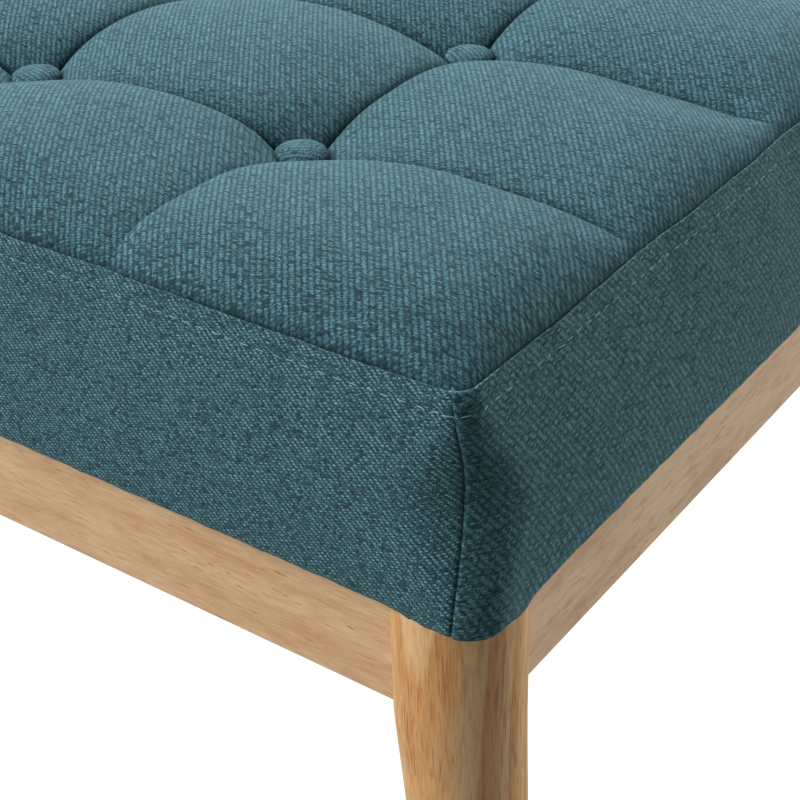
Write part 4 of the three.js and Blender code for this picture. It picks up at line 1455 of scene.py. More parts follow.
@dataclass(frozen=True)
class Stuffing:
    """The foam core and the wadding over it."""

    plan: SeatPlan
    tufting: Tufting
    boxing: Boxing
    cloth_gap: float = 2.2 * MM
    edge_gap: float = 1 * MM
    edge_drop: float = 2.5 * MM
    edge_reach: float = 2 * MM
    foam_bottom: float = 14.4 * MM
    foam_top: float = 53.4 * MM
    wadding_bottom: float = 53.7 * MM
    edge_round: float = 5 * MM
    twine_hole: float = 2.2 * MM
    step: float = 7 * MM

    def inside(self, level: float) -> Pair:
        """The inset and corner radius of the room inside the boxing.

        Args:
            level: The height.

        Returns:
            The inset and the radius.
        """
        share = (level - self.boxing.base) / (self.plan.seam_height - self.boxing.base)
        inset = self.plan.inset(self.boxing.lean(share))
        return inset + self.cloth_gap, float(self.boxing.radius(share)) - self.cloth_gap

    def ring(self, inset: float, radius: float, level: float, corner: int = 10) -> Array:
        """A rounded outline of the cushion.

        Args:
            inset: How far in it runs.
            radius: Its corners' radius.
            level: Its height.
            corner: How many points a corner has.

        Returns:
            Its points, anticlockwise.
        """
        half_x, half_y = self.plan.half_length - inset - radius, self.plan.half_depth - inset - radius
        middles = ((half_x, half_y), (-half_x, half_y), (-half_x, -half_y), (half_x, -half_y))
        return np.array([(x, y, level) for i, middle in enumerate(middles)
                         for x, y in arc(middle, radius, 90 * i, 90 * i + 90, corner)])

    def drill(self, piece: Object, smooth_angle: float) -> None:
        """Cuts the holes for the buttons' twine.

        Args:
            piece: The piece to cut.
            smooth_angle: Edges sharper than this many degrees stay sharp.
        """
        above = self.plan.seam_height + 40 * MM
        one, faces = turned_points([(self.twine_hole, 0), (self.twine_hole, above)], 12)
        spots = [(x, y, 0) for x in self.plan.lines_x for y in self.plan.lines_y]
        holes = [[i + n * len(one) for i in face] for n in range(len(spots)) for face in faces]
        cutter = make_object("twine_holes", np.concatenate([one + spot for spot in spots]), holes, [],
                             smooth_angle=None)
        cut_out(piece, [cutter], smooth_angle)

    def foam(self, finish: Material) -> Object:
        """Builds the foam core.

        Args:
            finish: Its material.

        Returns:
            The foam.
        """
        bottom, top = (self.plan.frame_top + level for level in (self.foam_bottom, self.foam_top))
        low, high = bottom + self.edge_round, top - self.edge_round
        bend = arc((0, 0), self.edge_round, 180, 90, 5)
        levels = [(low - rise, self.edge_round + shift) for shift, rise in reversed(bend)]
        levels += [(level, 0) for level in np.linspace(low, high, 9)[1:-1]]
        levels += [(high + rise, self.edge_round + shift) for shift, rise in bend]
        rings = []
        for level, shift in levels:
            inset, radius = self.inside(level)
            rings.append(self.ring(inset + shift, radius, level))
        count = len(rings[0])
        faces = grid_faces(len(rings), count, closed=True)
        faces += [tuple(reversed(range(count))), tuple(range((len(rings) - 1) * count, len(rings) * count))]
        piece = make_object("foam_block", np.concatenate(rings), faces, [finish])
        self.drill(piece, 40)
        settle(piece, "foam", "foam_core")
        return piece

    def wadding(self, panel: "TopPanel", finish: Material) -> Object:
        """Builds the wadding, which fills the tufted panel.

        Args:
            panel: The top panel that it fills.
            finish: Its material.

        Returns:
            The wadding.
        """
        plan = self.plan
        half_x, half_y = halves = [half - self.edge_gap for half in panel.halves]
        lines = [np.linspace(-half, half, int(2 * half / self.step)) for half in halves]
        grid_x, grid_y = np.meshgrid(*lines)
        rows, columns = grid_x.shape
        height = self.tufting.height(grid_x, grid_y) - self.tufting.valley(grid_x, grid_y) - self.cloth_gap
        height = np.maximum(height, plan.frame_top + self.wadding_bottom + 1 * MM)
        to_edge = np.minimum(half_x - np.abs(grid_x), half_y - np.abs(grid_y))
        height = height - self.edge_drop * np.exp(-to_edge / self.edge_reach)
        height = height - panel.corner_fall(grid_x, grid_y, half_x, half_y)
        x, y = panel.rounded(grid_x, grid_y, half_x, half_y)
        top = np.stack([x, y, height], axis=-1)
        numbers = np.arange(rows * columns).reshape(rows, columns)
        rim = np.concatenate([numbers[0, :-1], numbers[:-1, -1], numbers[-1, :0:-1], numbers[:0:-1, 0]])
        edge = top.reshape(-1, 3)[rim]
        bottom = plan.frame_top + self.wadding_bottom
        skirts = []
        for share in (0.3, 0.65, 1.0):
            level = edge[:, 2] + (bottom - edge[:, 2]) * share
            inset, radius = self.inside(float(level.mean()))
            wide, deep = plan.half_length - inset, plan.half_depth - inset
            flat_x = grid_x.reshape(-1)[rim] * (wide / half_x)
            flat_y = grid_y.reshape(-1)[rim] * (deep / half_y)
            skirts.append(np.column_stack([*panel.rounded(flat_x, flat_y, wide, deep, radius), level]))
        points = np.concatenate([top.reshape(-1, 3), *skirts])
        faces = list(grid_faces(rows, columns))
        span = len(rim)
        rings = [rim, *(range(first, first + span) for first in range(rows * columns, len(points), span))]
        for upper, lower in zip(rings, rings[1:]):
            faces += [(lower[i], lower[(i + 1) % span], upper[(i + 1) % span], upper[i]) for i in range(span)]
        faces.append(tuple(reversed(rings[-1])))
        piece = make_object("wadding_layer", points, faces, [finish], smooth_angle=50)
        self.drill(piece, 50)
        settle(piece, "wadding", "wadding")
        return piece


@dataclass(frozen=True)
class CoveredButton:
    """A button covered in the same twill, with its twine and the toggle under the board."""

    radius: float = 9.8 * MM
    lift: float = 0.8 * MM
    rim: float = 5.3 * MM
    twine: float = 1.0 * MM
    toggle: float = 7 * MM
    toggle_height: float = 2.5 * MM
    cap_drop: float = 8.3 * MM
    sides: int = 48
    pleats: int = 13
    pleat_depth: float = 0.035
    nearest: tuple[int, int] = (7, 0)
    turns: tuple[float, float, float] = (-1.49, 2.4, 1.1)
    cut: Cut = TopPanel.cut

    def turn(self, column: int, row: int) -> float:
        """How far one button's cloth is turned: none like the next, and the nearest as the photo shows it."""
        nearest, by_column, by_row = self.turns
        return by_column * (column - self.nearest[0]) + by_row * (row - self.nearest[1]) + nearest

    def profile(self, bottom: float, top: float) -> list[Pair]:
        """The button's turned outline.

        Args:
            bottom: The toggle's underside.
            top: The dome's top.

        Returns:
            Radius and height pairs, upwards.
        """
        cap, crown = top - self.cap_drop, bottom + self.toggle_height
        toggle = [(self.toggle * 0.94, bottom), (self.toggle, bottom + 0.4 * MM),
                  (self.toggle, crown - 0.4 * MM), (self.toggle * 0.94, crown),
                  (1.6 * self.twine, crown), (self.twine, crown + 0.8 * MM)]
        under = [(self.twine, cap), (0.36 * self.radius, cap + 0.5 * MM), (0.7 * self.radius, cap + 2.4 * MM),
                 (0.92 * self.radius, cap + 4.0 * MM), (0.99 * self.radius, cap + 4.8 * MM)]
        shoulder = cap + self.rim
        over = [(self.radius * math.cos(t) ** 0.8, shoulder + (top - shoulder) * math.sin(t) ** 0.95)
                for t in np.radians((6, 18, 32, 46, 58, 68, 77, 84, 88.5))]
        return toggle + under + over

    def build(self, name: str, node: str, turn: float, finishes: Sequence[Material]) -> Object:
        """Builds one button.

        Args:
            name: The piece's name.
            node: The CAD button that it stands for.
            turn: How far its cloth is turned.
            finishes: The cloth and the twine.

        Returns:
            The button.
        """
        low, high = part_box(node)
        middle = (low + high) / 2
        top = high.z + self.lift
        cap = top - self.cap_drop
        points, faces = turned_points(self.profile(low.z, top), self.sides)
        angle = np.arctan2(points[:, 1], points[:, 0])
        under = (points[:, 2] > cap) & (points[:, 2] < cap + self.rim)
        points[:, :2] *= (1 + self.pleat_depth * under * np.cos(self.pleats * angle + turn))[:, None]
        yarn = self.cut.yarns(math.cos(turn) * points[:, 0] - math.sin(turn) * points[:, 1],
                              math.sin(turn) * points[:, 0] + math.cos(turn) * points[:, 1])
        points = points + (middle.x, middle.y, 0)
        piece = make_object(name, points, faces, finishes, yarn, 60)
        for face in piece.data.polygons:
            face.material_index = int(face.center.z < cap)
        return settle(piece, "twill", node)


# The frame


@dataclass(frozen=True)
class Leg:
    """A turned leg, upright beside the rails and splayed below them, with its two mortises."""

    top_radius: float = 21.72 * MM
    foot_radius: float = 12.5 * MM
    splay: float = 0.07
    bend: float = 300 * MM
    axis: Pair = (614.5 * MM, 217.5 * MM)
    mortise_face: float = 7.8 * MM
    mortise_depth: float = 12.3 * MM
    mortise_width: float = 9.6 * MM
    mortise_half_height: float = 16.8 * MM
    mortise_middle: float = 324.5 * MM
    pin_radius: float = 1.9 * MM
    pin_depth: float = 14.3 * MM
    foot_round: float = 1.2 * MM
    top_round: float = 0.5 * MM
    bend_round: float = 6 * MM
    cut_past: float = 5 * MM
    sides: int = 72

    def build(self, corner: Corner, finish: Material) -> Object:
        """Builds one leg.

        Args:
            corner: Its corner.
            finish: The wood.

        Returns:
            The leg.
        """
        node = f"leg_{corner.label}"
        low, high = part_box(node)
        sign_x, sign_y = corner.value
        soft = self.foot_round
        profile = [(self.foot_radius - soft, low.z), (self.foot_radius - 0.3 * soft, low.z + 0.3 * soft)]
        for level in np.linspace(low.z + soft, self.bend, 22):
            share = (level - low.z) / (self.bend - low.z)
            profile.append((self.foot_radius + (self.top_radius - self.foot_radius) * share, level))
        upper = np.linspace(self.bend, high.z - self.top_round, 5)[1:]
        profile += [(self.top_radius, level) for level in upper]
        profile.append((self.top_radius - self.top_round, high.z))
        points, faces = turned_points(profile, self.sides)
        points[:, 0] += sign_x * self.splay * self.rounded_bend(points[:, 2])
        points[:, :2] += (sign_x * self.axis[0], sign_y * self.axis[1])
        piece = make_object(f"turned_{node}", points, faces, [finish], smooth_angle=35)
        cut_out(piece, self.cutters(sign_x, sign_y, low.z), 35)
        return settle(piece, "rubberwood", node)

    def rounded_bend(self, level: Array) -> Array:
        """How far below the bend a height is, softened round the bend."""
        drop, soft = self.bend - level, self.bend_round
        return np.where(drop > soft, drop, np.where(drop < -soft, 0, (drop + soft) ** 2 / (4 * soft)))

    def cutters(self, sign_x: int, sign_y: int, foot: float) -> list[Object]:
        """Makes the shapes that cut the mortises and the hole of the glide's pin.

        Args:
            sign_x: The corner's side along the bench.
            sign_y: The corner's side across it.
            foot: The leg's underside.

        Returns:
            The cutting objects.
        """
        middle = np.array([sign_x * self.axis[0], sign_y * self.axis[1], self.mortise_middle])
        depths = np.array([self.top_radius - self.mortise_depth, self.top_radius + self.cut_past])
        widths = np.array([self.mortise_face, self.mortise_face - self.mortise_width])
        heights = np.array([-self.mortise_half_height, self.mortise_half_height])
        made = []
        mortises = ((-sign_x * depths, sign_y * widths), (sign_x * widths, -sign_y * depths))
        for index, spans in enumerate(mortises):
            low, high = middle + np.sort([*spans, heights]).T
            made.append(box_between(f"cutter_{index}", low, high))
        points, faces = turned_points([(self.pin_radius, 0), (self.pin_radius, foot + self.pin_depth)], 24)
        points[:, 0] += sign_x * (self.axis[0] + self.splay * (self.bend - foot))
        points[:, 1] += sign_y * self.axis[1]
        made.append(make_object("cutter_pin", points, faces, [], smooth_angle=None))
        return made


def box_between(name: str, low: Sequence[float], high: Sequence[float]) -> Object:
    """Makes a plain box.

    Args:
        name: Its name.
        low: Its lowest corner.
        high: Its highest corner.

    Returns:
        The box.
    """
    (x0, y0, z0), (x1, y1, z1) = low, high
    points = [(x, y, z) for z in (z0, z1) for x, y in ((x0, y0), (x1, y0), (x1, y1), (x0, y1))]
    faces = [(3, 2, 1, 0), (4, 5, 6, 7), (0, 1, 5, 4), (1, 2, 6, 5), (2, 3, 7, 6), (3, 0, 4, 7)]
    return make_object(name, np.array(points), faces, [], smooth_angle=None)


@dataclass(frozen=True)
class Joinery:
    """The straight pieces of the frame, as the CAD has them with their long edges eased."""

    nodes: dict[str, Object]
    ease: float = 1.0 * MM
    shortest: float = 25 * MM
    merge: float = 0.001 * MM
    flat_angle: float = 1
    sharp_angle: float = 30

    def build(self, name: str, node: str, slot: str, finish: Material, axis: int | None) -> Object:
        """Builds one piece.

        Args:
            name: Its name.
            node: The CAD node that it stands for.
            slot: Its material slot.
            finish: Its material.
            axis: The axis that its eased edges run along; None eases all long edges.

        Returns:
            The piece.
        """
        source = self.nodes[node]
        shape = bmesh.new()
        shape.from_mesh(source.data)
        shape.transform(source.matrix_world)
        bmesh.ops.remove_doubles(shape, verts=shape.verts, dist=self.merge)
        bmesh.ops.dissolve_limit(shape, angle_limit=math.radians(self.flat_angle), verts=shape.verts,
                                 edges=shape.edges)
        edges = [edge for edge in shape.edges if self.is_eased(edge, axis)]
        bmesh.ops.bevel(shape, geom=edges, offset=self.ease, segments=3, profile=0.5, affect="EDGES",
                        clamp_overlap=True)
        bmesh.ops.recalc_face_normals(shape, faces=shape.faces)
        mesh = bpy.data.meshes.new(name)
        shape.to_mesh(mesh)
        shape.free()
        mesh.materials.clear()
        mesh.materials.append(finish)
        shade(mesh, self.sharp_angle)
        return settle(placed(name, mesh), slot, node)

    def is_eased(self, edge: bmesh.types.BMEdge, axis: int | None) -> bool:
        """Whether an edge gets eased.

        Args:
            edge: The edge.
            axis: The axis that eased edges run along, or None.

        Returns:
            Whether it is sharp, long and along that axis.
        """
        if len(edge.link_faces) != 2 or edge.calc_length() < self.shortest:
            return False
        if edge.calc_face_angle_signed(0) < math.radians(self.sharp_angle):
            return False
        way = (edge.verts[1].co - edge.verts[0].co).normalized()
        return axis is None or abs(way[axis]) > 0.999


@dataclass(frozen=True)
class Hardware:
    """The glides, bolts and screws, turned finer than the CAD's."""

    sides: int = 32
    thread_pitch: float = 1.0 * MM
    thread_depth: float = 0.25 * MM
    pin: float = 1.6 * MM
    bolt_shank: float = 3 * MM
    washer: float = 8 * MM
    washer_edge: float = 0.3 * MM
    bolt_head: float = 5.75 * MM
    screw_shank: float = 2.25 * MM

    def fitting(self, name: str, node: str, slot: str, finish: Material, profile: Sequence[Pair]) -> Object:
        """Turns a fitting about its node's upright axis.

        Args:
            name: Its name.
            node: The CAD node that it stands for.
            slot: Its material slot.
            finish: Its material.
            profile: Radius and height pairs, upwards.

        Returns:
            The fitting.
        """
        low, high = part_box(node)
        points, faces = turned_points(profile, self.sides)
        points += ((low.x + high.x) / 2, (low.y + high.y) / 2, 0)
        return settle(make_object(name, points, faces, [finish], smooth_angle=35), slot, node)

    def glide(self, corner: Corner, finish: Material) -> Object:
        """Builds a glide.

        Args:
            corner: Its corner.
            finish: Its material.

        Returns:
            The glide.
        """
        node = f"glide_{corner.label}"
        low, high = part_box(node)
        radius, pin = (high.x - low.x) / 2, self.pin
        rim = [(-1.2 * MM, 0), (-0.4 * MM, 0.35 * MM), (0, 1.2 * MM), (0, 3.6 * MM), (-0.4 * MM, 4 * MM)]
        profile = [(radius + wider, low.z + rise) for wider, rise in rim]
        profile += [(pin, low.z + 4 * MM), (pin, high.z - 1.5 * MM), (0.3 * pin, high.z)]
        return self.fitting(f"nail_on_{node}", node, "nylon", finish, profile)

    def threaded(self, radius: float, start: float, stop: float) -> list[Pair]:
        """The outline of a threaded length."""
        places = np.linspace(start, stop, 2 * int(abs(stop - start) / self.thread_pitch))
        return [(radius - self.thread_depth * (i % 2), place) for i, place in enumerate(places)]

    def bolt(self, corner: Corner, finish: Material) -> Object:
        """Builds a leg bolt with its washer, along the corner's diagonal.

        Args:
            corner: Its corner.
            finish: Its material.

        Returns:
            The bolt.
        """
        node = f"leg_bolt_{corner.label}"
        sign_x, sign_y = corner.value
        low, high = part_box(node)
        shank, washer, edge, head = self.bolt_shank, self.washer, self.washer_edge, self.bolt_head
        profile = [(shank * 0.6, 6.5 * MM)] + self.threaded(shank, 7.2 * MM, 40 * MM)
        profile += [(shank, 41 * MM), (shank, 54 * MM), (washer - edge, 54 * MM), (washer, 54.3 * MM),
                    (washer, 55.2 * MM), (washer - edge, 55.5 * MM), (head, 55.5 * MM)]
        points, faces = turned_points(profile, self.sides)
        hexagon = [(head, 55.5 * MM), (head, 59.0 * MM), (head - 0.9 * MM, 59.5 * MM)]
        nut, nut_faces = turned_points(hexagon, 6)
        points = np.concatenate([points, nut])
        faces = faces + [tuple(i + len(profile) * self.sides for i in face) for face in nut_faces]
        turn = Vector((-sign_x, -sign_y, 0)).normalized().to_track_quat("Z", "Y").to_matrix()
        place = Vector((sign_x * Leg.axis[0], sign_y * Leg.axis[1], (low.z + high.z) / 2))
        points = np.array([turn @ Vector(point) + place for point in points])
        piece = make_object(f"hex_{node}", points, faces, [finish], smooth_angle=30)
        return settle(piece, "zinc_steel", node)

    def screw(self, corner: Corner, finish: Material) -> Object:
        """Builds a seat screw, its head under the corner block.

        Args:
            corner: Its corner.
            finish: Its material.

        Returns:
            The screw.
        """
        node = f"seat_screw_{corner.label}"
        low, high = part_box(node)
        radius, shank = (high.x - low.x) / 2, self.screw_shank
        head = [(0.55 * radius, 0), (0.85 * radius, 0.5 * MM), (radius, 1.6 * MM), (radius, 3 * MM),
                (shank, 3 * MM)]
        profile = [(wide, low.z + rise) for wide, rise in head]
        profile += self.threaded(shank, low.z + 14 * MM, high.z - 2 * MM) + [(0.4 * MM, high.z)]
        return self.fitting(f"pan_head_{node}", node, "zinc_steel", finish, profile)


@dataclass(frozen=True)
class DustCover:
    """The black cloth stapled under the seat."""

    plan: SeatPlan
    stuffing: Stuffing
    rim_inset: float = 34 * MM
    step: float = 2 * MM
    radius: float = 80 * MM
    drop: float = 0.4 * MM
    rise: float = 1.4 * MM
    sag: float = 2.0 * MM
    patch_size: float = 0.5 * MM
    patch_wave: float = 60 * MM
    cloth: float = 0.6 * MM
    hem_rings: tuple[float, ...] = (0, 4 * MM, 8 * MM, 13 * MM)
    inner_rings: tuple[float, ...] = (1.0, 0.97, 0.93, 0.88, 0.8, 0.7, 0.6, 0.5, 0.4, 0.3, 0.2, 0.1, 0.04)
    corner: int = 16
    staple_inset: float = 40 * MM
    staple_pitch: float = 42 * MM
    staple_rise: float = 0.4 * MM
    staple_shift: float = 0.2
    staple_slant: float = 0.35

    def build(self, finish: Material) -> Object:
        """Builds the cloth.

        Args:
            finish: Its material.

        Returns:
            The dust cover.
        """
        ring, rim, overlap = self.stuffing.ring, self.plan.frame_top - self.drop, self.hem_rings[-1]
        rings = [ring(self.rim_inset + d, self.radius - d, rim, self.corner) for d in self.hem_rings]
        inner = ring(self.rim_inset + overlap + self.step, self.radius - overlap, rim, self.corner)
        half_x, half_y = inner[:, 0].max(), inner[:, 1].max()
        spine = np.column_stack([np.clip(inner[:, 0], half_y - half_x, half_x - half_y), 0 * inner[:, 0]])
        for share in self.inner_rings:
            flat = spine + share * (inner[:, :2] - spine)
            patches = self.patch_size * patchy(flat[:, 0], flat[:, 1], self.patch_wave, 2.0)
            height = rim + self.rise - self.sag * smooth(1 - share) + patches * smooth((1 - share) * 4)
            rings.append(np.column_stack([flat, height]))
        count = len(inner)
        faces = grid_faces(len(rings), count, closed=True)
        faces.append(tuple(range((len(rings) - 1) * count, len(rings) * count)))
        piece = make_object("dust_cloth", np.concatenate(rings), [face[::-1] for face in faces], [finish])
        thicken(piece, self.cloth, 0)
        settle(piece, "dust_cloth", "dust_cover")
        flat = (2 * (self.plan.half_length - self.rim_inset), 2 * (self.plan.half_depth - self.rim_inset))
        return piece

    def staple_spots(self) -> tuple[Array, Array, Array]:
        """Where the staples are.

        Returns:
            Their middles, and the directions along them and out of the cloth.
        """
        inset, level = self.staple_inset, self.plan.frame_top - self.drop - self.staple_rise
        ring = self.stuffing.ring(inset, self.radius - (inset - self.rim_inset), level, self.corner)
        loop = np.concatenate([ring, ring[:1]])
        run = np.concatenate([[0], np.cumsum(np.linalg.norm(np.diff(loop, axis=0), axis=1))])
        count = int(run[-1] / self.staple_pitch)
        number = np.arange(count)
        places = (number + self.staple_shift * np.sin(7.3 * number)) * run[-1] / count
        middle, ahead = (np.column_stack([np.interp(at, run, line) for line in loop.T])
                         for at in (places, places + 1 * MM))
        ahead -= middle
        slant = self.staple_slant * np.linalg.norm(ahead, axis=1) * np.sin(3.1 * number)
        ahead[:, :2] += slant[:, None] * [1, -1]
        ahead /= np.maximum(np.linalg.norm(ahead, axis=1)[:, None], 1e-9)
        return middle, ahead, np.tile((0.0, 0.0, -1.0), (count, 1))


@dataclass(frozen=True)
class Repeat:
    """Copies of one small shape, set on spots by Geometry Nodes."""

    name: str
    slot: str
    seed: int = 3
    turn_spread: float = 0.05

    def group(self) -> bpy.types.GeometryNodeTree:
        """Builds the node group that sets the shape on every spot."""
        tree = bpy.data.node_groups.new(f"{self.name}_on_spots", "GeometryNodeTree")
        for name, kind in (("Geometry", "Geometry"), ("Shape", "Object"), ("Turn Spread", "Float"),
                           ("Seed", "Int"), ("Finish", "Material")):
            tree.interface.new_socket(name, in_out="INPUT", socket_type=f"NodeSocket{kind}")
        tree.interface.new_socket("Geometry", in_out="OUTPUT", socket_type="NodeSocketGeometry")
        made = {name: tree.nodes.new(kind) for name, kind in (
            ("given", "NodeGroupInput"), ("result", "NodeGroupOutput"), ("shape", "GeometryNodeObjectInfo"),
            ("turn", "GeometryNodeInputNamedAttribute"), ("spread", "FunctionNodeRandomValue"),
            ("low", "ShaderNodeMath"), ("wander", "ShaderNodeCombineXYZ"), ("total", "ShaderNodeVectorMath"),
            ("copies", "GeometryNodeInstanceOnPoints"), ("real", "GeometryNodeRealizeInstances"),
            ("coat", "GeometryNodeSetMaterial"),
        )}
        made["turn"].data_type, made["spread"].data_type = "FLOAT_VECTOR", "FLOAT"
        made["low"].operation, made["total"].operation = "MULTIPLY", "ADD"
        made["turn"].inputs["Name"].default_value = "turn"
        made["low"].inputs[1].default_value = -1
        for start, given, stop, taken in (
            ("given", "Shape", "shape", "Object"), ("given", "Turn Spread", "low", 0),
            ("low", 0, "spread", "Min"), ("given", "Turn Spread", "spread", "Max"),
            ("given", "Seed", "spread", "Seed"),
            ("spread", "Value", "wander", "Z"), ("turn", "Attribute", "total", 0), ("wander", 0, "total", 1),
            ("given", "Geometry", "copies", "Points"), ("shape", "Geometry", "copies", "Instance"),
            ("total", 0, "copies", "Rotation"), ("copies", "Instances", "real", "Geometry"),
            ("real", "Geometry", "coat", "Geometry"), ("given", "Finish", "coat", "Material"),
            ("coat", "Geometry", "result", "Geometry"),
        ):
            tree.links.new(made[start].outputs[given], made[stop].inputs[taken])
        return tree

    def build(self, spots: tuple[Array, Array, Array], shape: Object,
              finish: Material) -> Object:
        """Sets the copies and makes them one plain mesh.

        Args:
            spots: The middles, and the directions along each copy and out of the surface.
            shape: The small shape, along X with its outside towards Z. It is removed.
            finish: The material.

        Returns:
            The copies.
        """
        middles, along, out = spots
        turns = []
        for ahead, up in zip(along, out):
            x, z = Vector(ahead), Vector(up)
            y = z.cross(x).normalized()
            turns.append(Matrix((x, y, x.cross(y))).transposed().to_euler("XYZ")[:])
        mesh = bpy.data.meshes.new(self.name)
        mesh.from_pydata(middles.tolist(), [], [])
        layer = mesh.attributes.new("turn", "FLOAT_VECTOR", "POINT")
        layer.data.foreach_set("vector", np.array(turns, np.float32).ravel())
        piece = placed(self.name, mesh)
        tree = self.group()
        setter = piece.modifiers.new("copies", "NODES")
        setter.node_group = tree
        values = {"Shape": shape, "Turn Spread": self.turn_spread, "Seed": self.seed, "Finish": finish}
        for item in tree.interface.items_tree:
            if item.in_out == "INPUT" and item.name in values:
                setter[item.identifier] = values[item.name]
        baked(piece)
        bpy.data.objects.remove(shape)
        return settle(piece, self.slot)


def thread_shape(length: float, radius: float) -> Object:
    """Makes one stitch, along X with its ends sunk.

    Args:
        length: Its length.
        radius: The thread's radius.

    Returns:
        The stitch.
    """
    sides, places = 6, np.linspace(-0.5, 0.5, 7)
    rings = []
    for place in places:
        sink = radius * (2 * place) ** 4 * 1.6
        thick = radius * (1 - 0.55 * (2 * abs(place)) ** 5)
        ring = arc((0, radius * 0.55 - sink), thick, 0, 360 - 360 / sides, sides)
        rings.append([(place * length, y, z) for y, z in ring])
    faces = [face[::-1] for face in grid_faces(len(places), sides, closed=True)]
    last = sides * (len(places) - 1)
    faces += [tuple(range(sides)), tuple(reversed(range(last, last + sides)))]
    return make_object("stitch_shape", np.array(rings), faces, [], smooth_angle=180)


def staple_shape(length: float, wire: float) -> Object:
    """Makes the crown of one staple, along X with its ends sunk.

    Args:
        length: Its length.
        wire: Its thickness.

    Returns:
        The staple.
    """
    half = length / 2
    path = [(-half, -wire), (-half, 0.2 * wire), (-half + 0.4 * wire, 0.6 * wire),
            (half - 0.4 * wire, 0.6 * wire), (half, 0.2 * wire), (half, -wire)]
    corners = ((-1, 0), (1, 0), (1, 0.4 * wire), (-1, 0.4 * wire))
    rings = [[(x, side * wire / 2, z + lift) for side, lift in corners] for x, z in path]
    faces = [face[::-1] for face in grid_faces(len(path), 4, closed=True)]
    faces += [(0, 1, 2, 3), tuple(reversed(range(4 * len(path) - 4, 4 * len(path))))]
    return make_object("staple_shape", np.array(rings), faces, [], smooth_angle=None)


# The studio


@dataclass(frozen=True)
class Studio:
    """The floor, the soft lights and the camera at the photograph's angle."""

    eye: tuple[float, float, float] = (846.4 * MM, -570.4 * MM, 687.9 * MM)
    azimuth: float = 35.70
    elevation: float = 32.69
    roll: float = -1.10
    lens: float = 78.5
    sensor: float = 36
    nearest: float = 0.02
    floor_size: float = 12.0
    floor_glow: float = 0.86
    fill: float = 0.08
    aim: tuple[float, float, float] = (0.45, -0.1, 0.4)
    white: Rgb = (1.0, 1.0, 1.0)

    def camera(self) -> None:
        """Makes the camera."""
        side, rise = math.radians(self.azimuth), math.radians(self.elevation)
        ahead = Vector((-math.sin(side) * math.cos(rise), math.cos(side) * math.cos(rise), -math.sin(rise)))
        right = ahead.cross(Vector((0, 0, 1))).normalized()
        up = right.cross(ahead)
        tilt = math.radians(self.roll)
        right, up = math.cos(tilt) * right + math.sin(tilt) * up, math.cos(tilt) * up - math.sin(tilt) * right
        data = bpy.data.cameras.new("camera")
        data.lens, data.sensor_width, data.clip_start = self.lens, self.sensor, self.nearest
        view = placed("camera", data)
        turn = Matrix((right, up, -ahead)).transposed().to_4x4()
        view.matrix_world = Matrix.Translation(self.eye) @ turn
        bpy.context.scene.camera = view

    def lamp(self, name: str, place: Sequence[float], size: float, power: float, colour: Rgb) -> None:
        """Hangs a square soft lamp that faces the cushion.

        Args:
            name: Its name.
            place: Where it hangs.
            size: The length of its side.
            power: Its power in watts.
            colour: Its colour.
        """
        data = bpy.data.lights.new(name, "AREA")
        data.size, data.energy, data.color = size, power, colour
        turn = (Vector(self.aim) - Vector(place)).to_track_quat("-Z", "Y").to_matrix().to_4x4()
        placed(name, data).matrix_world = Matrix.Translation(place) @ turn

    def floor(self) -> None:
        """Lays the pale floor, which keeps the bench's shadow."""
        half = self.floor_size / 2
        points = np.array([(-half, -half, 0), (half, -half, 0), (half, half, 0), (-half, half, 0)])
        s = Shader("pale_floor")
        s.set(Base_Color=(0.4, 0.4, 0.4), Roughness=0.9, Specular_IOR_Level=0.1)
        seen = s.node("ShaderNodeLightPath").outputs["Is Camera Ray"]
        strength = s.math("MULTIPLY", seen, self.floor_glow)
        glow = s.node("ShaderNodeEmission", {"Color": self.white, "Strength": strength})
        both = s.node("ShaderNodeAddShader", {0: s.surface.outputs[0], 1: glow.outputs[0]})
        s.links.new(both.outputs[0], s.nodes["Material Output"].inputs["Surface"])
        make_object("floor", points, [(0, 1, 2, 3)], [s.material], smooth_angle=None)

    def world(self) -> None:
        """Surrounds the bench with white that lights it softly."""
        world = bpy.data.worlds.new("studio")
        world.use_nodes = True
        nodes, links = world.node_tree.nodes, world.node_tree.links
        back = nodes["Background"]
        path = nodes.new("ShaderNodeLightPath")
        seen = nodes.new("ShaderNodeMath")
        seen.operation = "MAXIMUM"
        links.new(path.outputs["Is Camera Ray"], seen.inputs[0])
        links.new(path.outputs["Is Glossy Ray"], seen.inputs[1])
        strength = nodes.new("ShaderNodeMapRange")
        links.new(seen.outputs[0], strength.inputs["Value"])
        strength.inputs["To Min"].default_value = self.fill
        strength.inputs["To Max"].default_value = 1.0
        links.new(strength.outputs[0], back.inputs["Strength"])
        back.inputs["Color"].default_value = (*self.white, 1)
        bpy.context.scene.world = world

    def build(self) -> None:
        """Builds the studio."""
        self.camera()
        self.floor()
        self.world()
        self.lamp("key", (-1.9, -2.4, 2.6), 2.0, 155, (1.0, 0.99, 0.97))
        self.lamp("side", (1.6, 2.4, 1.4), 1.8, 74, (1.0, 0.985, 0.96))
        self.lamp("back", (-0.9, 0.3, 1.5), 1.2, 28, self.white)
        bpy.context.scene.view_settings.view_transform = "Standard"


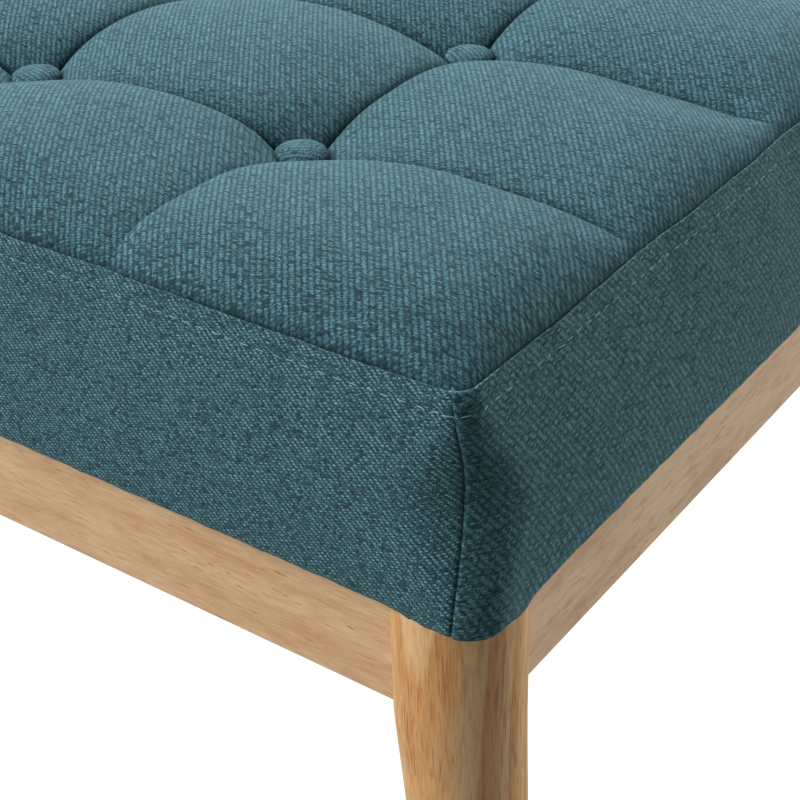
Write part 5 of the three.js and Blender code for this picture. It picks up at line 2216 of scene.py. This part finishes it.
class Bench:
    """The bench, built from its sub-assemblies."""

    def __init__(self, nodes: dict[str, Object]) -> None:
        """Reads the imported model.

        Args:
            nodes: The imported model's nodes by name.
        """
        self.nodes = nodes
        self.plan = SeatPlan.from_frame(nodes)
        self.tufting = Tufting(self.plan)
        self.panel = TopPanel(self.plan, self.tufting)
        self.boxing = Boxing(self.plan, self.tufting)
        self.stuffing = Stuffing(self.plan, self.tufting, self.boxing)
        self.top_twill = Twill("teal_twill_top", (0.0905, 0.224, 0.272), relief=0.14 * MM, float_length=2.3,
                               flatness=0.35, roundness=0.22, under=0.22, sharpness=1.0, mottle=1.3).make()
        self.side_twills = [
            Twill("teal_twill_long", (0.153, 0.355, 0.424), float_length=2.05, flatness=0.8, under=0.38,
                  sharpness=1.4, mottle=1.1).make(),
            Twill("teal_twill_end", (0.094, 0.228, 0.273), relief=0.12 * MM, float_length=2.45, flatness=0.45,
                  roundness=0.38, under=0.46, sharpness=1.1, mottle=1.5).make(),
        ]
        self.woods = [
            Hardwood("rubberwood_long", 0, pith=(0.25, 0.27)).make(),
            # The end rails' copy of the wood is paler and brighter than the long rails': partly their own
            # greyer tone, partly painted light on the bench's ends.
            Hardwood("rubberwood_end", 1, pith=(0.66, 0.26), pale=(0.92, 0.68, 0.45), warm=(0.74, 0.50, 0.29),
                     brown=(0.42, 0.24, 0.12)).make(),
            Hardwood("rubberwood_upright", 2, pith=(0.6203, 0.1678), slope=0.045, spacing=8.5 * MM,
                     start=0.0868, bands=0.46, ring_edge=0.07, sway=1.0 * MM, cloud=(16, 190),
                     pore=(60, 1250), pore_share=0.46, pore_strength=0.85, grain=3.2, ring_grain=0.85,
                     pale=(0.80, 0.53, 0.25), warm=(0.71, 0.375, 0.125), brown=(0.62, 0.30, 0.115),
                     pores=(0.30, 0.12, 0.04), blush=(0.66, 0.34, 0.12)).make(),
        ]
        self.zinc = Plain("zinc_plate", (0.45, 0.45, 0.46), 0.38, 900, 0.02 * MM, metallic=1).make()

    def cushion(self) -> None:
        """Builds the cushion."""
        self.panel.build(self.top_twill)
        for side in Side:
            self.boxing.build(side, self.side_twills[side.axis])
        self.stuffing.foam(Plain("open_cell_foam", (0.79, 0.72, 0.48), 0.95, 1500, 0.3 * MM).make())
        fill = Plain("polyester_wadding", (0.87, 0.86, 0.82), 0.95, 700, 0.5 * MM).make()
        self.stuffing.wadding(self.panel, fill)
        twine = Plain("button_twine", (0.16, 0.17, 0.17), 0.8, 2500, 0.1 * MM).make()
        button = CoveredButton()
        for i in range(len(self.plan.lines_x)):
            for j in range(len(self.plan.lines_y)):
                node = f"button_{i + 1}_{j + 1}"
                button.build(f"covered_{node}", node, button.turn(i, j), [self.top_twill, twine])

    def stitching(self) -> None:
        """Builds the topstitch round the boxing's upper edge."""
        thread = Plain("pale_teal_thread", (0.27, 0.44, 0.50), 0.7, 3000, 0.05 * MM).make()
        spots = tuple(np.concatenate(part) for part in zip(*map(self.boxing.stitch_spots, Side)))
        Repeat("topstitch", "twill").build(spots, thread_shape(4.3 * MM, 0.2 * MM), thread)

    def woodwork(self) -> None:
        """Builds the frame."""
        raw = [Hardwood(f"sawn_wood_{axis}", axis, roughness=0.75, coat=0.0).make() for axis in range(2)]
        joinery = Joinery(self.nodes)
        for corner in Corner:
            Leg().build(corner, self.woods[2])
            block = f"corner_block_{corner.label}"
            joinery.build(f"sawn_{block}", block, "inner_wood", raw[0], None)
        for side in Side:
            rail = f"rail_{side.label}"
            joinery.build(f"eased_{rail}", rail, "rubberwood", self.woods[side.axis], side.axis)
        joinery.build("sawn_stretcher", "centre_stretcher", "inner_wood", raw[1], 1)
        ply = Plain("plywood_face", (0.55, 0.41, 0.24), 0.8, 300, 0.08 * MM).make()
        joinery.build("plywood_board", "seat_board", "plywood", ply, 0)

    def fittings(self) -> None:
        """Builds the glides, the fasteners and the dust cover."""
        nylon = Plain("brown_nylon", (0.03, 0.025, 0.02), 0.5, 800, 0.03 * MM).make()
        hardware = Hardware()
        for corner in Corner:
            hardware.glide(corner, nylon)
            hardware.bolt(corner, self.zinc)
            hardware.screw(corner, self.zinc)
        dust = DustCover(self.plan, self.stuffing)
        dust.build(Plain("black_spunbond", (0.012, 0.012, 0.013), 0.95, 1200, 0.1 * MM).make())
        Repeat("staples", "zinc_steel").build(dust.staple_spots(), staple_shape(10 * MM, 0.9 * MM), self.zinc)

    def build(self) -> None:
        """Builds every piece."""
        self.cushion()
        self.stitching()
        self.woodwork()
        self.fittings()


def main() -> None:
    """Builds the bench's looks and its studio."""
    logging.basicConfig(level=logging.INFO, format="%(name)s: %(message)s")
    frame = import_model()
    Studio().build()
    Bench(frame["nodes"]).build()


if __name__ == "__main__":
    main()
